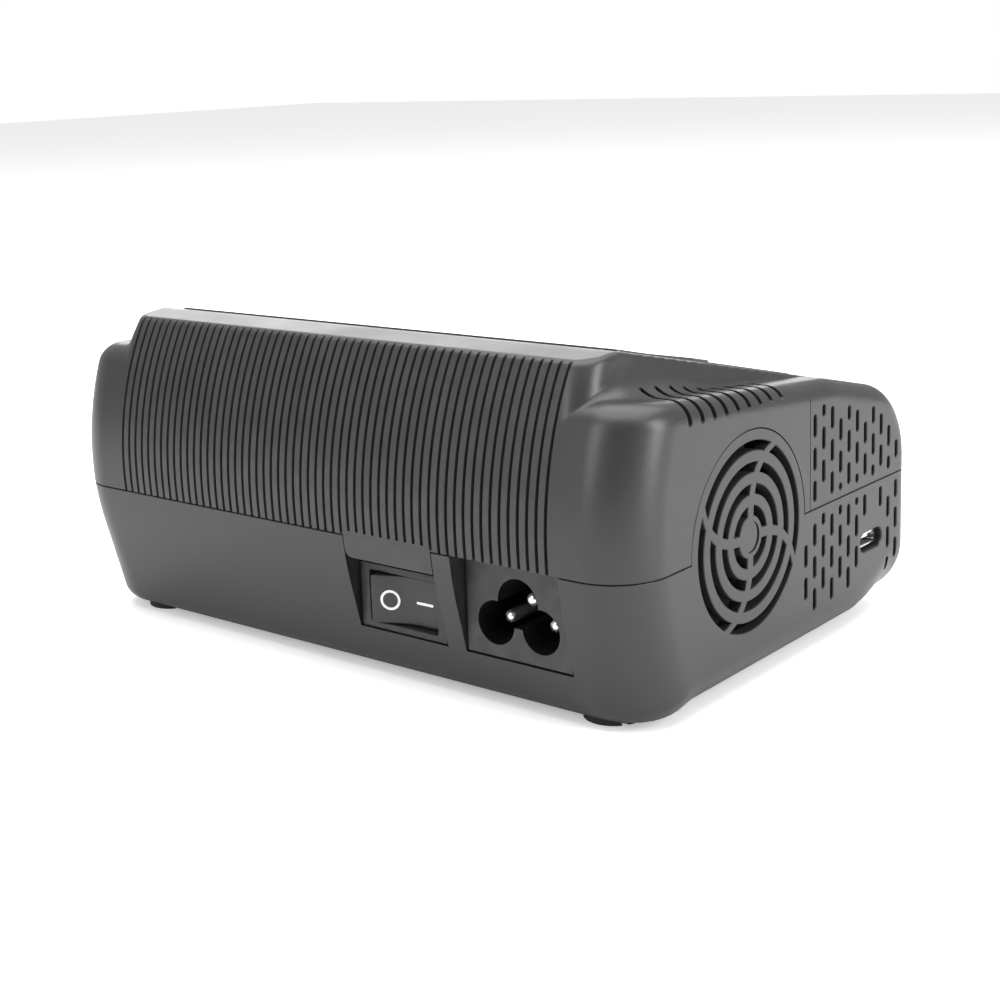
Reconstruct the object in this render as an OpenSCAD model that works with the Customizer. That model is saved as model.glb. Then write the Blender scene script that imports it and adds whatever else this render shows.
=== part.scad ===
// Balance battery charger for model aircraft, with its own mains supply.
// Millimetres. The origin is on the surface it stands on, under the middle of the case.
// +X is to the right of a person at the front, +Y is towards the back, +Z is up.

/* [Case] */
// Width of the case, side to side
body_w = 144.4; // [140:0.2:176]
// Depth of the case, front to back
body_d = 101.5; // [99:0.5:124]
// Height of the parting line between the two shells
seam_z = 28.5; // [28.5:0.5:35]
// Height of the underside of the lower shell
bottom_z = 1.2; // [0.8:0.1:1.6]
// Wall thickness of both shells
wall = 2.4; // [2:0.1:2.9]
// Gap left at the parting line
seam_gap = 0.2; // [0.1:0.05:0.4]
// Radius of the back corners, seen from above
back_corner_r = 10.5; // [8:0.5:14]
// Radius of the front corners, seen from above
front_corner_r = 4; // [3.5:0.5:8]
// Radius of the bulge of the back face, seen from the side
barrel_r = 60; // [48:1:80]
// Height of the middle of that bulge above the parting line
barrel_rise = 5; // [3:0.5:8]
// Lean of the lower part of the back face, degrees
back_draft = 14; // [8:1:15]
// Radius where the top turns down into the front face
nose_r = 17; // [12:1:18]
// Height of that radius's centre above the parting line
nose_rise = 2.8; // [1:0.2:5]
// Radius where the front face turns under
chin_r = 12; // [8:1:14]
// Radius of the lower side edges
sill_r = 7; // [4:0.5:9]
// Radius of the lower back edge
heel_r = 3; // [2:0.5:4]

/* [Deck and ledges] */
// Height of the deck plane above the parting line, at the back face
deck_rise = 40.3; // [40:0.1:46]
// Slope of the deck down towards the front, degrees
deck_slope = 13.36; // [11.2:0.01:13.4]
// Distance from the back face to the deck's back edge
deck_edge = 17; // [11:0.2:17.6]
// Height of the groove tops above the parting line
rib_top = 35.6; // [33:0.2:36]
// Width of the raised deck at the back
deck_w = 118; // [117:0.5:122]
// Corner radius of the raised deck
deck_corner_r = 5; // [4:0.5:10]
// Distance from the back face to where the ledges run out
ledge_end = 70; // [60:1:72]
// Height of the ledges above the parting line, at the back face
ledge_rise = 30.2; // [28:0.1:31]
// Rounding of the ledges' edges
ledge_r = 4; // [3.2:0.2:6]

/* [Back grooves] */
// Number of grooves across the back
groove_n = 56; // [20:1:57]
// Distance from groove to groove
groove_pitch = 2; // [1.8:0.05:2.02]
// Width of a groove
groove_w = 0.6; // [0.4:0.05:0.9]
// Depth of a groove
groove_d = 0.7; // [0.4:0.05:1]
// Height of the groove bottoms above the parting line
groove_start = 0.5; // [0.3:0.1:2]

/* [Side vents] */
// Distance from column to column of the side slots
vent_col = 3.4; // [3.2:0.1:3.6]
// Distance from slot to slot up a column
vent_row = 6.4; // [6:0.1:8]
// How far each column is lower than the one behind it
vent_step = 3; // [2.6:0.1:3.4]
// Length of a slot
vent_len = 4.35; // [3:0.05:4.6]
// Width of a slot
vent_w = 1.25; // [1:0.05:1.6]
// Number of columns
vent_n = 12; // [6:1:12]
// Number of slots over each ledge
louvre_n = 9; // [4:1:9]
// Distance from one of those slots to the next
louvre_pitch = 3.95; // [3.4:0.05:4.4]
// Width of one of those slots
louvre_w = 1.2; // [0.8:0.1:1.6]
// Depth of the last of them from the back face
louvre_start = 18.5; // [18:0.5:20]

/* [Fan] */
// Side length of the fan frame
fan_size = 40; // [33:0.5:40]
// Thickness of the fan frame
fan_t = 10; // [8:0.5:12]
// Distance of the fan's axis from the back face
fan_back = 38; // [36:0.5:42]
// Radius of the round grille on the side
grille_r = 19.8; // [17:0.1:20]
// Gap around the grille in the upper shell
grille_gap = 0.2; // [0.1:0.05:0.4]
// Radial clearance of the blades in the frame
blade_clear = 0.7; // [0.5:0.1:1.5]
// Number of blades
blade_n = 7; // [5:1:9]

/* [Mains inlet and switch] */
// Place of the mains inlet, to the left of the middle
inlet_x = -45.25; // [-46:0.25:-44]
// Width of the inlet's opening in the back
inlet_w = 24; // [23.6:0.2:24.6]
// Depth of the two recesses behind the back face
recess_d = 4.25; // [3.6:0.05:5]
// Height of the recesses' lower edge
recess_z = 9.7; // [9:0.1:11]
// Distance between the inlet's two line pins
pin_pitch = 10; // [10:0.1:10]
// Radius of an inlet pin
inlet_pin_r = 1.18; // [1.1:0.01:1.25]
// Place of the switch, to the left of the middle
switch_x = -18.1; // [-19:0.1:-17.6]
// Width of the switch's opening in the back
switch_w = 21.8; // [21:0.1:22.4]
// Width of the rocker
rocker_w = 16; // [14:0.2:16.4]
// Height of the rocker
rocker_h = 9.4; // [8:0.2:9.8]
// Swing of the rocker to each side, degrees
rocker_throw = 12; // [8:1:14]
// Gap around the rocker
rocker_gap = 0.3; // [0.25:0.05:0.4]
// Height of the tab of the upper shell that covers the switch
tab_h = 4.3; // [3.5:0.1:4.6]

/* [Front sockets] */
// Bore radius of an output socket, for a 4 mm plug
socket_r = 2.05; // [2.02:0.01:2.1]
// Distance between the two output sockets
socket_pitch = 19; // [19:0.1:19]
// Place of the pair, to the right of the middle
socket_x = 48; // [47:0.5:49]
// Pitch of the balance pins
xh_pitch = 2.5; // [2.5:0.1:2.5]
// Space between neighbouring balance sockets
xh_gap = 1.6; // [1.2:0.1:2]
// Left end of the row of balance sockets
xh_x0 = -52; // [-54:0.5:-50]

/* [Display and buttons] */
// Width of the clear window
window_w = 66; // [50:1:72]
// Height of the window, up the slope
window_h = 28; // [20:1:30]
// Size of a button across
button_w = 15; // [10:0.5:16]
// Size of a button up the slope
button_h = 7; // [5:0.5:8]
// Distance between buttons
button_pitch = 23; // [19:0.5:24]
// Gap around a button
button_gap = 0.3; // [0.2:0.05:0.5]
// Travel of a button
button_travel = 0.5; // [0.3:0.1:0.6]
// Width of the top overlay
overlay_w = 113.2; // [108:0.2:114]
// Thickness of the top overlay
overlay_t = 0.4; // [0.3:0.05:0.6]

/* [Hidden] */

back_y = body_d / 2;
front_y = -body_d / 2;
half_w = body_w / 2;
slope = tan(deck_slope);
thin = 0.01;
over = 1;
hull_fn = 32;
fine_fn = 64;
barrel_z = seam_z + barrel_rise;
nose_z = seam_z + nose_rise;
ledge_slope = (ledge_rise - deck_rise + slope * ledge_end) / ledge_end;
deck_floor_gap = 0.3;

// How far the back face lies in from its furthest point, at height z.
function tangent_z() = barrel_z - barrel_r * sin(back_draft);
function back_in(z) = z >= tangent_z()
    ? barrel_r - sqrt(barrel_r * barrel_r - pow(z - barrel_z, 2))
    : barrel_r * (1 - cos(back_draft)) + (tangent_z() - z) * tan(back_draft);
// Inset of a surface of radius r that turns under at the bottom edge, at height z.
function edge_in(z, r, foot) = z >= foot + r ? 0 : r - sqrt(max(0, r * r - pow(foot + r - z, 2)));
function nose_in(z, r) = z <= nose_z ? 0 : r - sqrt(max(0, r * r - pow(z - nose_z, 2)));
// Heights of the deck and ledge planes at depth y.
function deck_z(y) = seam_z + deck_rise - slope * (back_y - y);
function ledge_z(y) = seam_z + ledge_rise - ledge_slope * (back_y - y);

// A pair of round corners of radius r whose outer sides meet the lines x = hw and y = edge.
// "face" is 1 for the back corners and -1 for the front ones.
module corners(hw, edge, face, r, z, h) {
    for (s = [-1, 1]) translate([s * (hw - r), edge - face * r, z]) cylinder(r = r, h = h, $fn = hull_fn);
}

// The lower body, from the parting line down, drawn in by "inset".
module lower_body(inset) {
    foot = bottom_z + inset;
    top = seam_z - seam_gap / 2 + (inset > 0 ? over : 0);
    rs = sill_r - inset;
    rh = max(heel_r - inset, 0.6);
    rc = chin_r - inset;
    rb = back_corner_r - inset;
    rf = front_corner_r - inset;
    hull() {
        for (t = [0, 0.03, 0.08, 0.16, 0.28, 0.42, 0.6, 0.8, 1]) {
            z = foot + rs * t;
            corners(half_w - inset - edge_in(z, rs, foot),
                back_y - inset - back_in(z) - edge_in(z, rh, foot), 1, rb, z, thin);
        }
        for (t = [0.25, 0.5, 0.75])
            corners(half_w - inset, back_y - inset - back_in(tangent_z() + (top - tangent_z()) * t), 1, rb,
                tangent_z() + (top - tangent_z()) * t, thin);
        corners(half_w - inset, back_y - inset - back_in(top), 1, rb, top - thin, thin);
        for (t = [0, 0.03, 0.08, 0.16, 0.28, 0.42, 0.6, 0.8]) {
            z = foot + rc * t;
            corners(half_w - inset - edge_in(z, rs, foot),
                front_y + inset + edge_in(z, rc, foot), -1, rf, z, thin);
        }
        corners(half_w - inset, front_y + inset, -1, rf, foot + rc, top - foot - rc);
    }
}

// The upper body without its raised deck, drawn in by "inset".
module upper_body(inset) {
    low = seam_z + seam_gap / 2 - (inset > 0 ? over : 0);
    rb = back_corner_r - inset;
    rf = front_corner_r - inset;
    re = max(ledge_r - inset, 0.8);
    rn = nose_r - inset;
    drop = inset + deck_floor_gap + re;
    ledge_back = back_y - inset - back_in(ledge_z(back_y) - ledge_r);
    nose_y = front_y + inset + rn - rn * sin(deck_slope);
    hull() {
        for (h = [0, 3, 6, 9, 12, 15, 18, 21, 24]) {
            z = max(low, seam_z + h);
            corners(half_w - inset, back_y - inset - back_in(z), 1, rb, z, thin);
        }
        corners(half_w - inset, front_y + inset, -1, rf, low, nose_z - low);
        for (h = [2.5, 5, 7.5, 9.5, 11.5])
            corners(half_w - inset, front_y + inset + nose_in(nose_z + h, rn), -1, rf, nose_z + h, thin);
        for (s = [-1, 1]) {
            // rounded corner of the ledge
            translate([s * (half_w - inset - rb), ledge_back - rb, ledge_z(ledge_back - rb) - inset - re])
                rotate_extrude($fn = hull_fn) translate([rb - re, 0]) circle(r = re, $fn = hull_fn);
            // rounded side edges, along the ledge and then along the deck plane
            translate([s * (half_w - inset - re), back_y - ledge_end, deck_z(back_y - ledge_end) - drop])
                sphere(r = re, $fn = hull_fn);
            translate([s * (half_w - inset - re), nose_y + re, deck_z(nose_y + re) - drop])
                sphere(r = re, $fn = hull_fn);
        }
    }
}

// The raised deck, drawn in by "inset".
module deck_body(inset) {
    dw = deck_w / 2 - inset;
    rc = deck_corner_r - inset;
    lift = inset / cos(deck_slope);
    nose_y = front_y + nose_r * (1 - sin(deck_slope)) + inset;
    run_out = half_w - ledge_r - 3 - inset;
    rib_z = seam_z + rib_top - inset;
    hull() {
        for (s = [-1, 1]) {
            for (h = [8, 14, 19, 24, 28, 32])
                translate([s * (dw - rc), back_y - inset - thin - back_in(seam_z + h) - rc, seam_z + h])
                    cylinder(r = rc, h = thin, $fn = hull_fn);
            translate([s * (dw - rc), back_y - inset - thin - back_in(rib_z), rib_z])
                rotate([deck_slope, 0, 0]) translate([0, -rc, -thin])
                    cylinder(r = rc, h = thin, $fn = hull_fn);
            translate([s * (dw - rc), back_y - deck_edge - inset - rc,
                    deck_z(back_y - deck_edge - inset - rc) - lift])
                rotate([deck_slope, 0, 0]) translate([0, 0, -thin]) cylinder(r = rc, h = thin, $fn = hull_fn);
            for (y = [back_y - ledge_end, nose_y + 3])
                translate([s * run_out, y, deck_z(y) - lift])
                    rotate([deck_slope, 0, 0]) translate([-0.5, -0.5, -3]) cube([1, 1, 3]);
        }
        translate([-run_out, nose_y + 3, seam_z + 8]) cube([2 * run_out, 1, 1]);
    }
}

// Places things in the sloping plane of the deck: X across, Y up the slope, Z out of the deck.
module on_deck() {
    translate([0, 0, deck_z(0)]) rotate([deck_slope, 0, 0]) children();
}
// Turns a shape drawn in YZ into a slab that runs along X from x0 to x1.
module along_x(x0, x1) {
    translate([x0, 0, 0]) rotate([90, 0, 90]) linear_extrude(x1 - x0) children();
}
module rounded_rect(w, h, r) {
    for (sx = [-1, 1], sy = [-1, 1])
        translate([sx * (w / 2 - r), sy * (h / 2 - r)]) circle(r = r, $fn = fine_fn);
    square([w - 2 * r, h], center = true);
    square([w, h - 2 * r], center = true);
}
module rounded_plate(w, h, r, t) {
    linear_extrude(t) rounded_rect(w, h, r);
}

// Fan and grille
fan_y = back_y - fan_back;
fan_z = seam_z + 0.3;
fan_x0 = -half_w + wall + 0.1;
fan_hole_pitch = fan_size * 0.8;
fan_hole_r = 1.75;
fan_bore_r = fan_size / 2 - 1.1;
hub_r = fan_size * 0.3;
ring_pitch = 3.94;
ring_w = 1.8;
ring_first = 3.95;
spoke_w = 2;
spoke_swirl = 0.114;
function spoke_angle(r) = -spoke_swirl * pow(max(0, r - 2), 2);
function polar(r, a) = [r * cos(a), r * sin(a)];

// One spoke of the grille, which starts straight and swirls as it goes out.
module spoke(k) {
    rs = [for (i = [0:7]) 2.5 + (grille_r - 3.5) * i / 7];
    polygon(concat(
        [for (i = [0:7]) polar(rs[i], 90 * k + spoke_angle(rs[i]) + asin(spoke_w / 2 / rs[i]))],
        [for (i = [7:-1:0]) polar(rs[i], 90 * k + spoke_angle(rs[i]) - asin(spoke_w / 2 / rs[i]))]));
}
// The openings of the grille, drawn as seen from outside the left wall.
module grille_openings() {
    difference() {
        for (i = [0:3]) difference() {
            circle(r = ring_first + ring_pitch * i + ring_w, $fn = fine_fn);
            circle(r = ring_first + ring_pitch * i, $fn = fine_fn);
        }
        for (k = [0:3]) spoke(k);
    }
}
// Turns a shape drawn in the plane of the left wall, seen from outside, into a slab in that wall.
module in_left_wall(y, z, x0, t) {
    translate([x0, y, z]) rotate([90, 0, -90]) mirror([0, 0, 1]) linear_extrude(t) children();
}

// Side slots
vent_first = 58.3;
vent_band = 1.5;
vent_floor = 20;
vent_top = 19.9;
vent_fall = 0.2;
vent_upper_phase = 9.75;
vent_lower_phase = -8.45;
usb_y = back_y - 85;
usb_drop = 11.7;
usb_hole = [9.3, 3.9];
function vent_y(j) = back_y - vent_first - vent_col * j;
// Lowest and highest a slot may reach in column j, above the parting line.
function upper_limit(j) = let (d = vent_first + vent_col * j)
    min(vent_top - vent_fall * (d - 64), d > 89 ? vent_top - 3 - 1.5 * (d - 89) : vent_top);
function near_fan(j, z) = pow(vent_y(j) - fan_y, 2) + z * z < pow(grille_r + 1.2, 2);
function near_usb(j, z) = abs(vent_y(j) - usb_y) < usb_hole[0] / 2 + 1 && z < -usb_drop + 6;

module slot(j, z0, z1) {
    y = vent_y(j);
    r = vent_w / 2;
    if (z1 - z0 > vent_w && !near_fan(j, (z0 + z1) / 2)) {
        translate([0, y, z0 + r]) rotate([0, 90, 0]) cylinder(r = r, h = 2 * (wall + over), $fn = 24);
        translate([0, y, z1 - r]) rotate([0, 90, 0]) cylinder(r = r, h = 2 * (wall + over), $fn = 24);
        translate([0, y - r, z0 + r]) cube([2 * (wall + over), vent_w, max(thin, z1 - z0 - vent_w)]);
    }
}
module upper_slots() {
    for (j = [1:vent_n - 1], k = [-1:8]) {
        c = vent_upper_phase - vent_step * (j - 1) + vent_row * k;
        if (c > -vent_len / 2 && c - vent_len / 2 < upper_limit(j) - vent_w)
            slot(j, max(vent_band, c - vent_len / 2), min(upper_limit(j), c + vent_len / 2));
    }
}
module lower_slots() {
    for (j = [0:vent_n - 1], k = [-2:8]) {
        c = vent_lower_phase - vent_step * j + vent_row * k;
        if (c < vent_len / 2 && c > -vent_floor && !near_usb(j, c))
            slot(j, max(-vent_floor, c - vent_len / 2), min(-vent_band, c + vent_len / 2));
    }
}
module both_walls() {
    for (s = [-1, 1]) translate([s * (half_w + wall / 2) - (wall + over), 0, seam_z]) children();
}
// Slots over the ledges
louvre_drop = 4.3;
louvre_climb = 0.25;
module louvres() {
    for (s = [0, 1]) mirror([s, 0, 0])
        for (i = [0:louvre_n - 1]) {
            y = back_y - louvre_start - louvre_pitch * i;
            translate([half_w - 10 - i * 0.2, y - louvre_w / 2, ledge_z(y) - louvre_drop + louvre_climb * i])
                cube([10 + over + i * 0.2, louvre_w, 12]);
        }
}
module grooves() {
    difference() {
        for (i = [0:groove_n - 1])
            translate([(i - (groove_n - 1) / 2) * groove_pitch - groove_w / 2, back_y - 14,
                    seam_z + groove_start])
                cube([groove_w, 14 + over, rib_top - groove_start]);
        translate([-half_w, back_y - barrel_r, barrel_z]) rotate([0, 90, 0])
            cylinder(r = barrel_r - groove_d, h = body_w, $fn = 180);
    }
}

// Inlet, switch and their recesses
inlet_h = seam_z - recess_z;
face_y = back_y - recess_d;
fit_gap = 0.4;
inlet_depth = 20;
switch_h = 12.6;
switch_body = [17.4, 13.4, 11.4];
switch_z = recess_z + 0.2 + switch_h / 2;
switch_bezel_t = 1.6;
rib_t = 1.6;
rib_depth = 6;
tab_gap = 0.2;
tab_t = recess_d - 0.35;

// The outline, in YZ, of what lies between the back face and a depth behind it.
module back_strip(z0, z1, skin, depth) {
    steps = 8;
    polygon(concat(
        [for (i = [0:steps]) let (z = z0 + (z1 - z0) * i / steps) [back_y - back_in(z) - skin, z]],
        [[back_y - depth, z1], [back_y - depth, z0]]));
}

// Screws that hold the case together
post_r = 3.5;
post_places = [[half_w - 11.7, back_y - 13.45], [-half_w + 11.7, back_y - 13.45],
    [half_w - 12.2, front_y + 25.8], [-half_w + 12.2, front_y + 25.8]];
screw_r = 1.4;
screw_clear = 0.25;
head_r = 2.7;
head_z = 4.6;
head_t = 1.8;
screw_len = 34;

// Feet
foot_r = 5.5;
foot_gap = 0.15;
foot_seat = 1;
foot_places = [for (sx = [-1, 1], sy = [-1, 1]) [sx * (half_w - 13.7), sy * (body_d / 2 - 14)]];
foot_top = bottom_z + foot_seat;

// Boards
board_t = 1.6;
main_top = seam_z - usb_drop - 1.45;
main_z = main_top - board_t;
main_y0 = front_y + wall + 1.4;
main_y1 = min(fan_y - fan_size / 2 - 1.2, -8);
main_x1 = half_w - wall - 2;
supply_z = 8;
supply_top = supply_z + board_t;
supply_x0 = switch_x + switch_w / 2 + 3;
supply_x1 = half_w - wall - 3;
supply_y0 = main_y1 + 2;
supply_y1 = back_y - 13.5;
supply_notch = 10.6;
stand_r = 2.6;
root_z = bottom_z + wall / 2;
pilot_r = 1.15;
board_screw_r = 1;
board_hole_r = 1.3;
main_stands = [[main_x1 - 5, main_y1 - 5], [-half_w + 22, main_y1 - 5], [0, main_y1 - 5]];
supply_stands = [
    [supply_x0 + 5, supply_y1 - 5],
    [supply_x1 - 5, supply_y0 + 5],
    [supply_x0 + 5, supply_y0 + 5]
];

// Front sockets
xh_front = front_y;
xh_depth = 11;
xh_h = 5.75;
xh_wall = 0.7;
xh_end = 2.45;
xh_hole_gap = 0.25;
xh_cavity = 7.2;
xh_pin = 0.64;
xh_pin_back = 3.6;
function xh_w(n) = xh_pitch * (n - 1) + 2 * xh_end;
function xh_left(n) = n <= 3 ? xh_x0 : xh_left(n - 1) + xh_w(n - 1) + xh_gap;
socket_z = main_top + 6.2;
socket_flange_r = 6.1;
socket_flange_t = 1.2;
socket_body_r = 4.6;
socket_bore = 15;
socket_tube_r = 2.9;

// Display
deck_wall = wall;
deck_post_r = 2.4;
board_w_deck = 9.6;
window_v = 9;
button_v = -20;
window_gap = 0.25;
window_lip = 2;
window_t = 1.2;
button_x = [for (i = [0:3]) (i - 1.5) * button_pitch];
button_proud = 0.9;
flange = 1.3;
flange_t = 1.2;
flange_gap = 0.1;
overlay_v0 = -31.5;
overlay_v1 = (back_y - 19) / cos(deck_slope);
display_v0 = -27;
display_v1 = window_v + window_h / 2 + 4;
display_w = button_pitch * 3 + button_w + 8;
deck_posts = [for (s = [-1, 1], v = [-9, 23]) [s * (display_w / 2 - 4), v]];

module button_outline(gap) {
    rounded_rect(button_w + 2 * gap, button_h + 2 * gap, 1.6 + gap);
}
module window_cut(gap, t0, t1) {
    translate([0, window_v, t0]) rounded_plate(window_w + 2 * gap, window_h + 2 * gap, 2 + gap, t1 - t0);
}

// ---- Case ----
module upper_shell() {
    color("#2b2c2e") difference() {
        union() {
            difference() {
                union() {
                    upper_body(0);
                    deck_body(0);
                }
                upper_body(wall);
                deck_body(wall);
            }
            // tab over the switch
            along_x(switch_x - switch_w / 2 + tab_gap, switch_x + switch_w / 2 - tab_gap)
                back_strip(seam_z - tab_h, seam_z + 1, 0.02, tab_t);
            // posts for the case screws
            intersection() {
                for (p = post_places) translate([p[0], p[1], seam_z + seam_gap])
                    cylinder(r = post_r, h = deck_rise, $fn = fine_fn);
                upper_body(wall - 0.8);
            }
            // posts for the display board
            on_deck() for (p = deck_posts) translate([p[0], p[1], -board_w_deck + 0.02])
                cylinder(r = deck_post_r, h = board_w_deck - deck_wall + 0.8, $fn = fine_fn);
        }
        for (p = post_places) translate([p[0], p[1], seam_z])
            cylinder(r = screw_r + 0.05, h = screw_len - (seam_z - head_z) + 1.5, $fn = fine_fn);
        in_left_wall(fan_y, fan_z, -half_w - over, wall + 2 * over) circle(r = grille_r, $fn = 128);
        both_walls() upper_slots();
        louvres();
        grooves();
        on_deck() {
            for (p = deck_posts) translate([p[0], p[1], -board_w_deck - over])
                cylinder(r = pilot_r, h = 5 + over, $fn = fine_fn);
            window_cut(window_gap, -deck_wall - 2, over);
            for (x = button_x) translate([x, button_v, -deck_wall - 2])
                linear_extrude(deck_wall + 3) button_outline(button_gap);
        }
    }
}

module lower_shell() {
    x0 = inlet_x - inlet_w / 2;
    x1 = inlet_x + inlet_w / 2;
    s0 = switch_x - switch_w / 2;
    s1 = switch_x + switch_w / 2;
    top = seam_z - seam_gap / 2;
    color("#303133") difference() {
        union() {
            difference() {
                lower_body(0);
                lower_body(wall);
            }
            // ribs beside and under the inlet and the switch
            for (x = [x0 - rib_t, x1, s0 - rib_t, s1])
                along_x(x, x + rib_t) back_strip(recess_z - rib_t, top, 0.3, recess_d + rib_depth);
            along_x(x0 - rib_t, s1 + rib_t) back_strip(recess_z - rib_t, recess_z, 0.3, recess_d + rib_depth);
            // grille disc, which stands up into the upper shell
            in_left_wall(fan_y, fan_z, -half_w, wall) circle(r = grille_r - grille_gap, $fn = 128);
            for (p = post_places) translate([p[0], p[1], root_z])
                cylinder(r = post_r, h = seam_z - root_z, $fn = fine_fn);
            for (p = main_stands) translate([p[0], p[1], root_z])
                cylinder(r = stand_r, h = main_z - root_z, $fn = fine_fn);
            for (p = supply_stands) translate([p[0], p[1], root_z])
                cylinder(r = stand_r, h = supply_z - root_z, $fn = fine_fn);
        }
        in_left_wall(fan_y, fan_z, -half_w - over, wall + 2 * over) grille_openings();
        both_walls() lower_slots();
        translate([x0, face_y - rib_depth - over, recess_z]) cube([inlet_w, 20, inlet_h + over]);
        translate([s0, face_y - rib_depth - over, recess_z]) cube([switch_w, 20, inlet_h + over]);
        in_left_wall(usb_y, seam_z - usb_drop, -half_w - over, wall + 2 * over)
            rounded_rect(usb_hole[0], usb_hole[1], usb_hole[1] / 2 - 0.01);
        for (n = [3:7]) translate([xh_left(n) - xh_hole_gap, front_y - over, main_top - xh_hole_gap])
            cube([xh_w(n) + 2 * xh_hole_gap, wall + 2 * over, xh_h + 2 * xh_hole_gap]);
        for (s = [-1, 1]) translate([socket_x + s * socket_pitch / 2, front_y - over, socket_z])
            rotate([-90, 0, 0]) {
                cylinder(r = socket_flange_r + 0.15, h = socket_flange_t + over, $fn = fine_fn);
                cylinder(r = socket_body_r + 0.1, h = wall + 2 * over, $fn = fine_fn);
            }
        for (p = post_places) translate([p[0], p[1], 0]) {
            cylinder(r = head_r + 0.4, h = head_z, $fn = fine_fn);
            cylinder(r = screw_r + screw_clear, h = seam_z + over, $fn = fine_fn);
        }
        for (p = main_stands) translate([p[0], p[1], main_z - 6])
            cylinder(r = pilot_r, h = 7, $fn = fine_fn);
        for (p = supply_stands) translate([p[0], p[1], supply_z - 5])
            cylinder(r = pilot_r, h = 6, $fn = fine_fn);
        for (p = foot_places) translate([p[0], p[1], 0])
            cylinder(r = foot_r + foot_gap, h = foot_top, $fn = fine_fn);
    }
}

module rubber_feet() {
    groove = 0.5;
    color("#1b1b1c") for (p = foot_places) translate([p[0], p[1], 0]) difference() {
        cylinder(r = foot_r, h = foot_top, $fn = fine_fn);
        for (i = [-1:1]) translate([-foot_r - over, i * 3 - 0.6, -over])
            cube([2 * foot_r + 2 * over, 1.2, groove + over]);
    }
}

module case_screws() {
    color("#6b6e72") for (p = post_places) translate([p[0], p[1], 0]) difference() {
        union() {
            translate([0, 0, head_z - head_t]) cylinder(r = head_r, h = head_t, $fn = fine_fn);
            translate([0, 0, head_z - 0.01]) cylinder(r = screw_r, h = screw_len, $fn = fine_fn);
        }
        for (a = [0, 90]) rotate([0, 0, a]) translate([-1.6, -0.35, head_z - head_t - over])
            cube([3.2, 0.7, 1 + over]);
    }
}

module top_overlay() {
    color("#161719") on_deck() difference() {
        translate([0, (overlay_v0 + overlay_v1) / 2, 0])
            rounded_plate(overlay_w, overlay_v1 - overlay_v0, 3, overlay_t);
        window_cut(window_gap, -over, over);
        for (x = button_x) translate([x, button_v, -over]) linear_extrude(3) button_outline(button_gap);
    }
}

module display_window() {
    color("#8fa9b5", 0.5) on_deck() {
        window_cut(0, overlay_t - window_t, overlay_t);
        // lip that sits against the inside of the shell
        translate([0, window_v, -deck_wall - 0.9])
            rounded_plate(window_w + 2 * window_lip, window_h + 2 * window_lip, 2, 0.8);
        window_cut(0, -deck_wall - 0.2, overlay_t - window_t + thin);
    }
}

module display_module() {
    color("#c9ccc4") on_deck() translate([0, window_v, -board_w_deck + 0.02]) difference() {
        rounded_plate(window_w + 3, window_h + 3, 1, board_w_deck - deck_wall - 1.1);
        translate([0, 0, board_w_deck - deck_wall - 1.6])
            rounded_plate(window_w - 4, window_h - 4, 0.8, 1);
    }
}

module display_board() {
    color("#1f5a3a") on_deck() difference() {
        translate([-display_w / 2, display_v0, -board_w_deck - board_t])
            cube([display_w, display_v1 - display_v0, board_t]);
        for (p = deck_posts) translate([p[0], p[1], -board_w_deck - board_t - over])
            cylinder(r = board_hole_r, h = board_t + 2 * over, $fn = fine_fn);
    }
}

module key_switches() {
    color("#2a2a2c") on_deck() for (x = button_x) translate([x, button_v, -board_w_deck + 0.02]) {
        translate([-3, -3, 0]) cube([6, 6, 3.2]);
        translate([0, 0, 3.1]) cylinder(r = 1.7, h = 0.4, $fn = fine_fn);
    }
}

module button(i) {
    key_top = 3.6;
    stem_low = -board_w_deck + key_top + button_travel;
    on_deck() translate([button_x[i], button_v, 0]) {
        translate([0, 0, -deck_wall - flange_gap - thin])
            linear_extrude(deck_wall + flange_gap + overlay_t + button_proud) button_outline(0);
        translate([0, 0, -deck_wall - flange_gap - flange_t])
            rounded_plate(button_w + 2 * flange, button_h + 2 * flange, 1, flange_t);
        translate([0, 0, stem_low]) cylinder(r = 1.5, h = -deck_wall - flange_t - stem_low, $fn = fine_fn);
    }
}
module button_stop() { color("#3a3b3d") button(0); }
module button_down() { color("#3a3b3d") button(1); }
module button_up() { color("#3a3b3d") button(2); }
module button_start() { color("#3a3b3d") button(3); }

// ---- Switch ----
rocker_pivot_in = 3.4;
rocker_hinge_r = 1;
rocker_low = 5;
module switch_housing() {
    color("#1d1e20") difference() {
        union() {
            translate([switch_x - switch_w / 2 + fit_gap, face_y - switch_bezel_t, switch_z - switch_h / 2])
                cube([switch_w - 2 * fit_gap, switch_bezel_t, switch_h]);
            translate([switch_x - switch_body[0] / 2, face_y - switch_bezel_t - switch_body[1],
                    switch_z - switch_body[2] / 2])
                cube([switch_body[0], switch_body[1] + thin, switch_body[2]]);
        }
        translate([switch_x - rocker_w / 2 - rocker_gap, face_y - 11.5, switch_z - rocker_h / 2 - rocker_gap])
            cube([rocker_w + 2 * rocker_gap, 12, rocker_h + 2 * rocker_gap]);
        translate([switch_x, face_y - rocker_pivot_in, switch_z - switch_body[2] / 2 - over])
            cylinder(r = rocker_hinge_r + 0.05, h = switch_body[2] + 2 * over, $fn = fine_fn);
    }
}
// Depth of the rocker's end faces, how far they lean in below, and half the width of its foot
rocker_rim = 3.2;
rocker_undercut = 0.8;
rocker_foot = 2.2;
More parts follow.
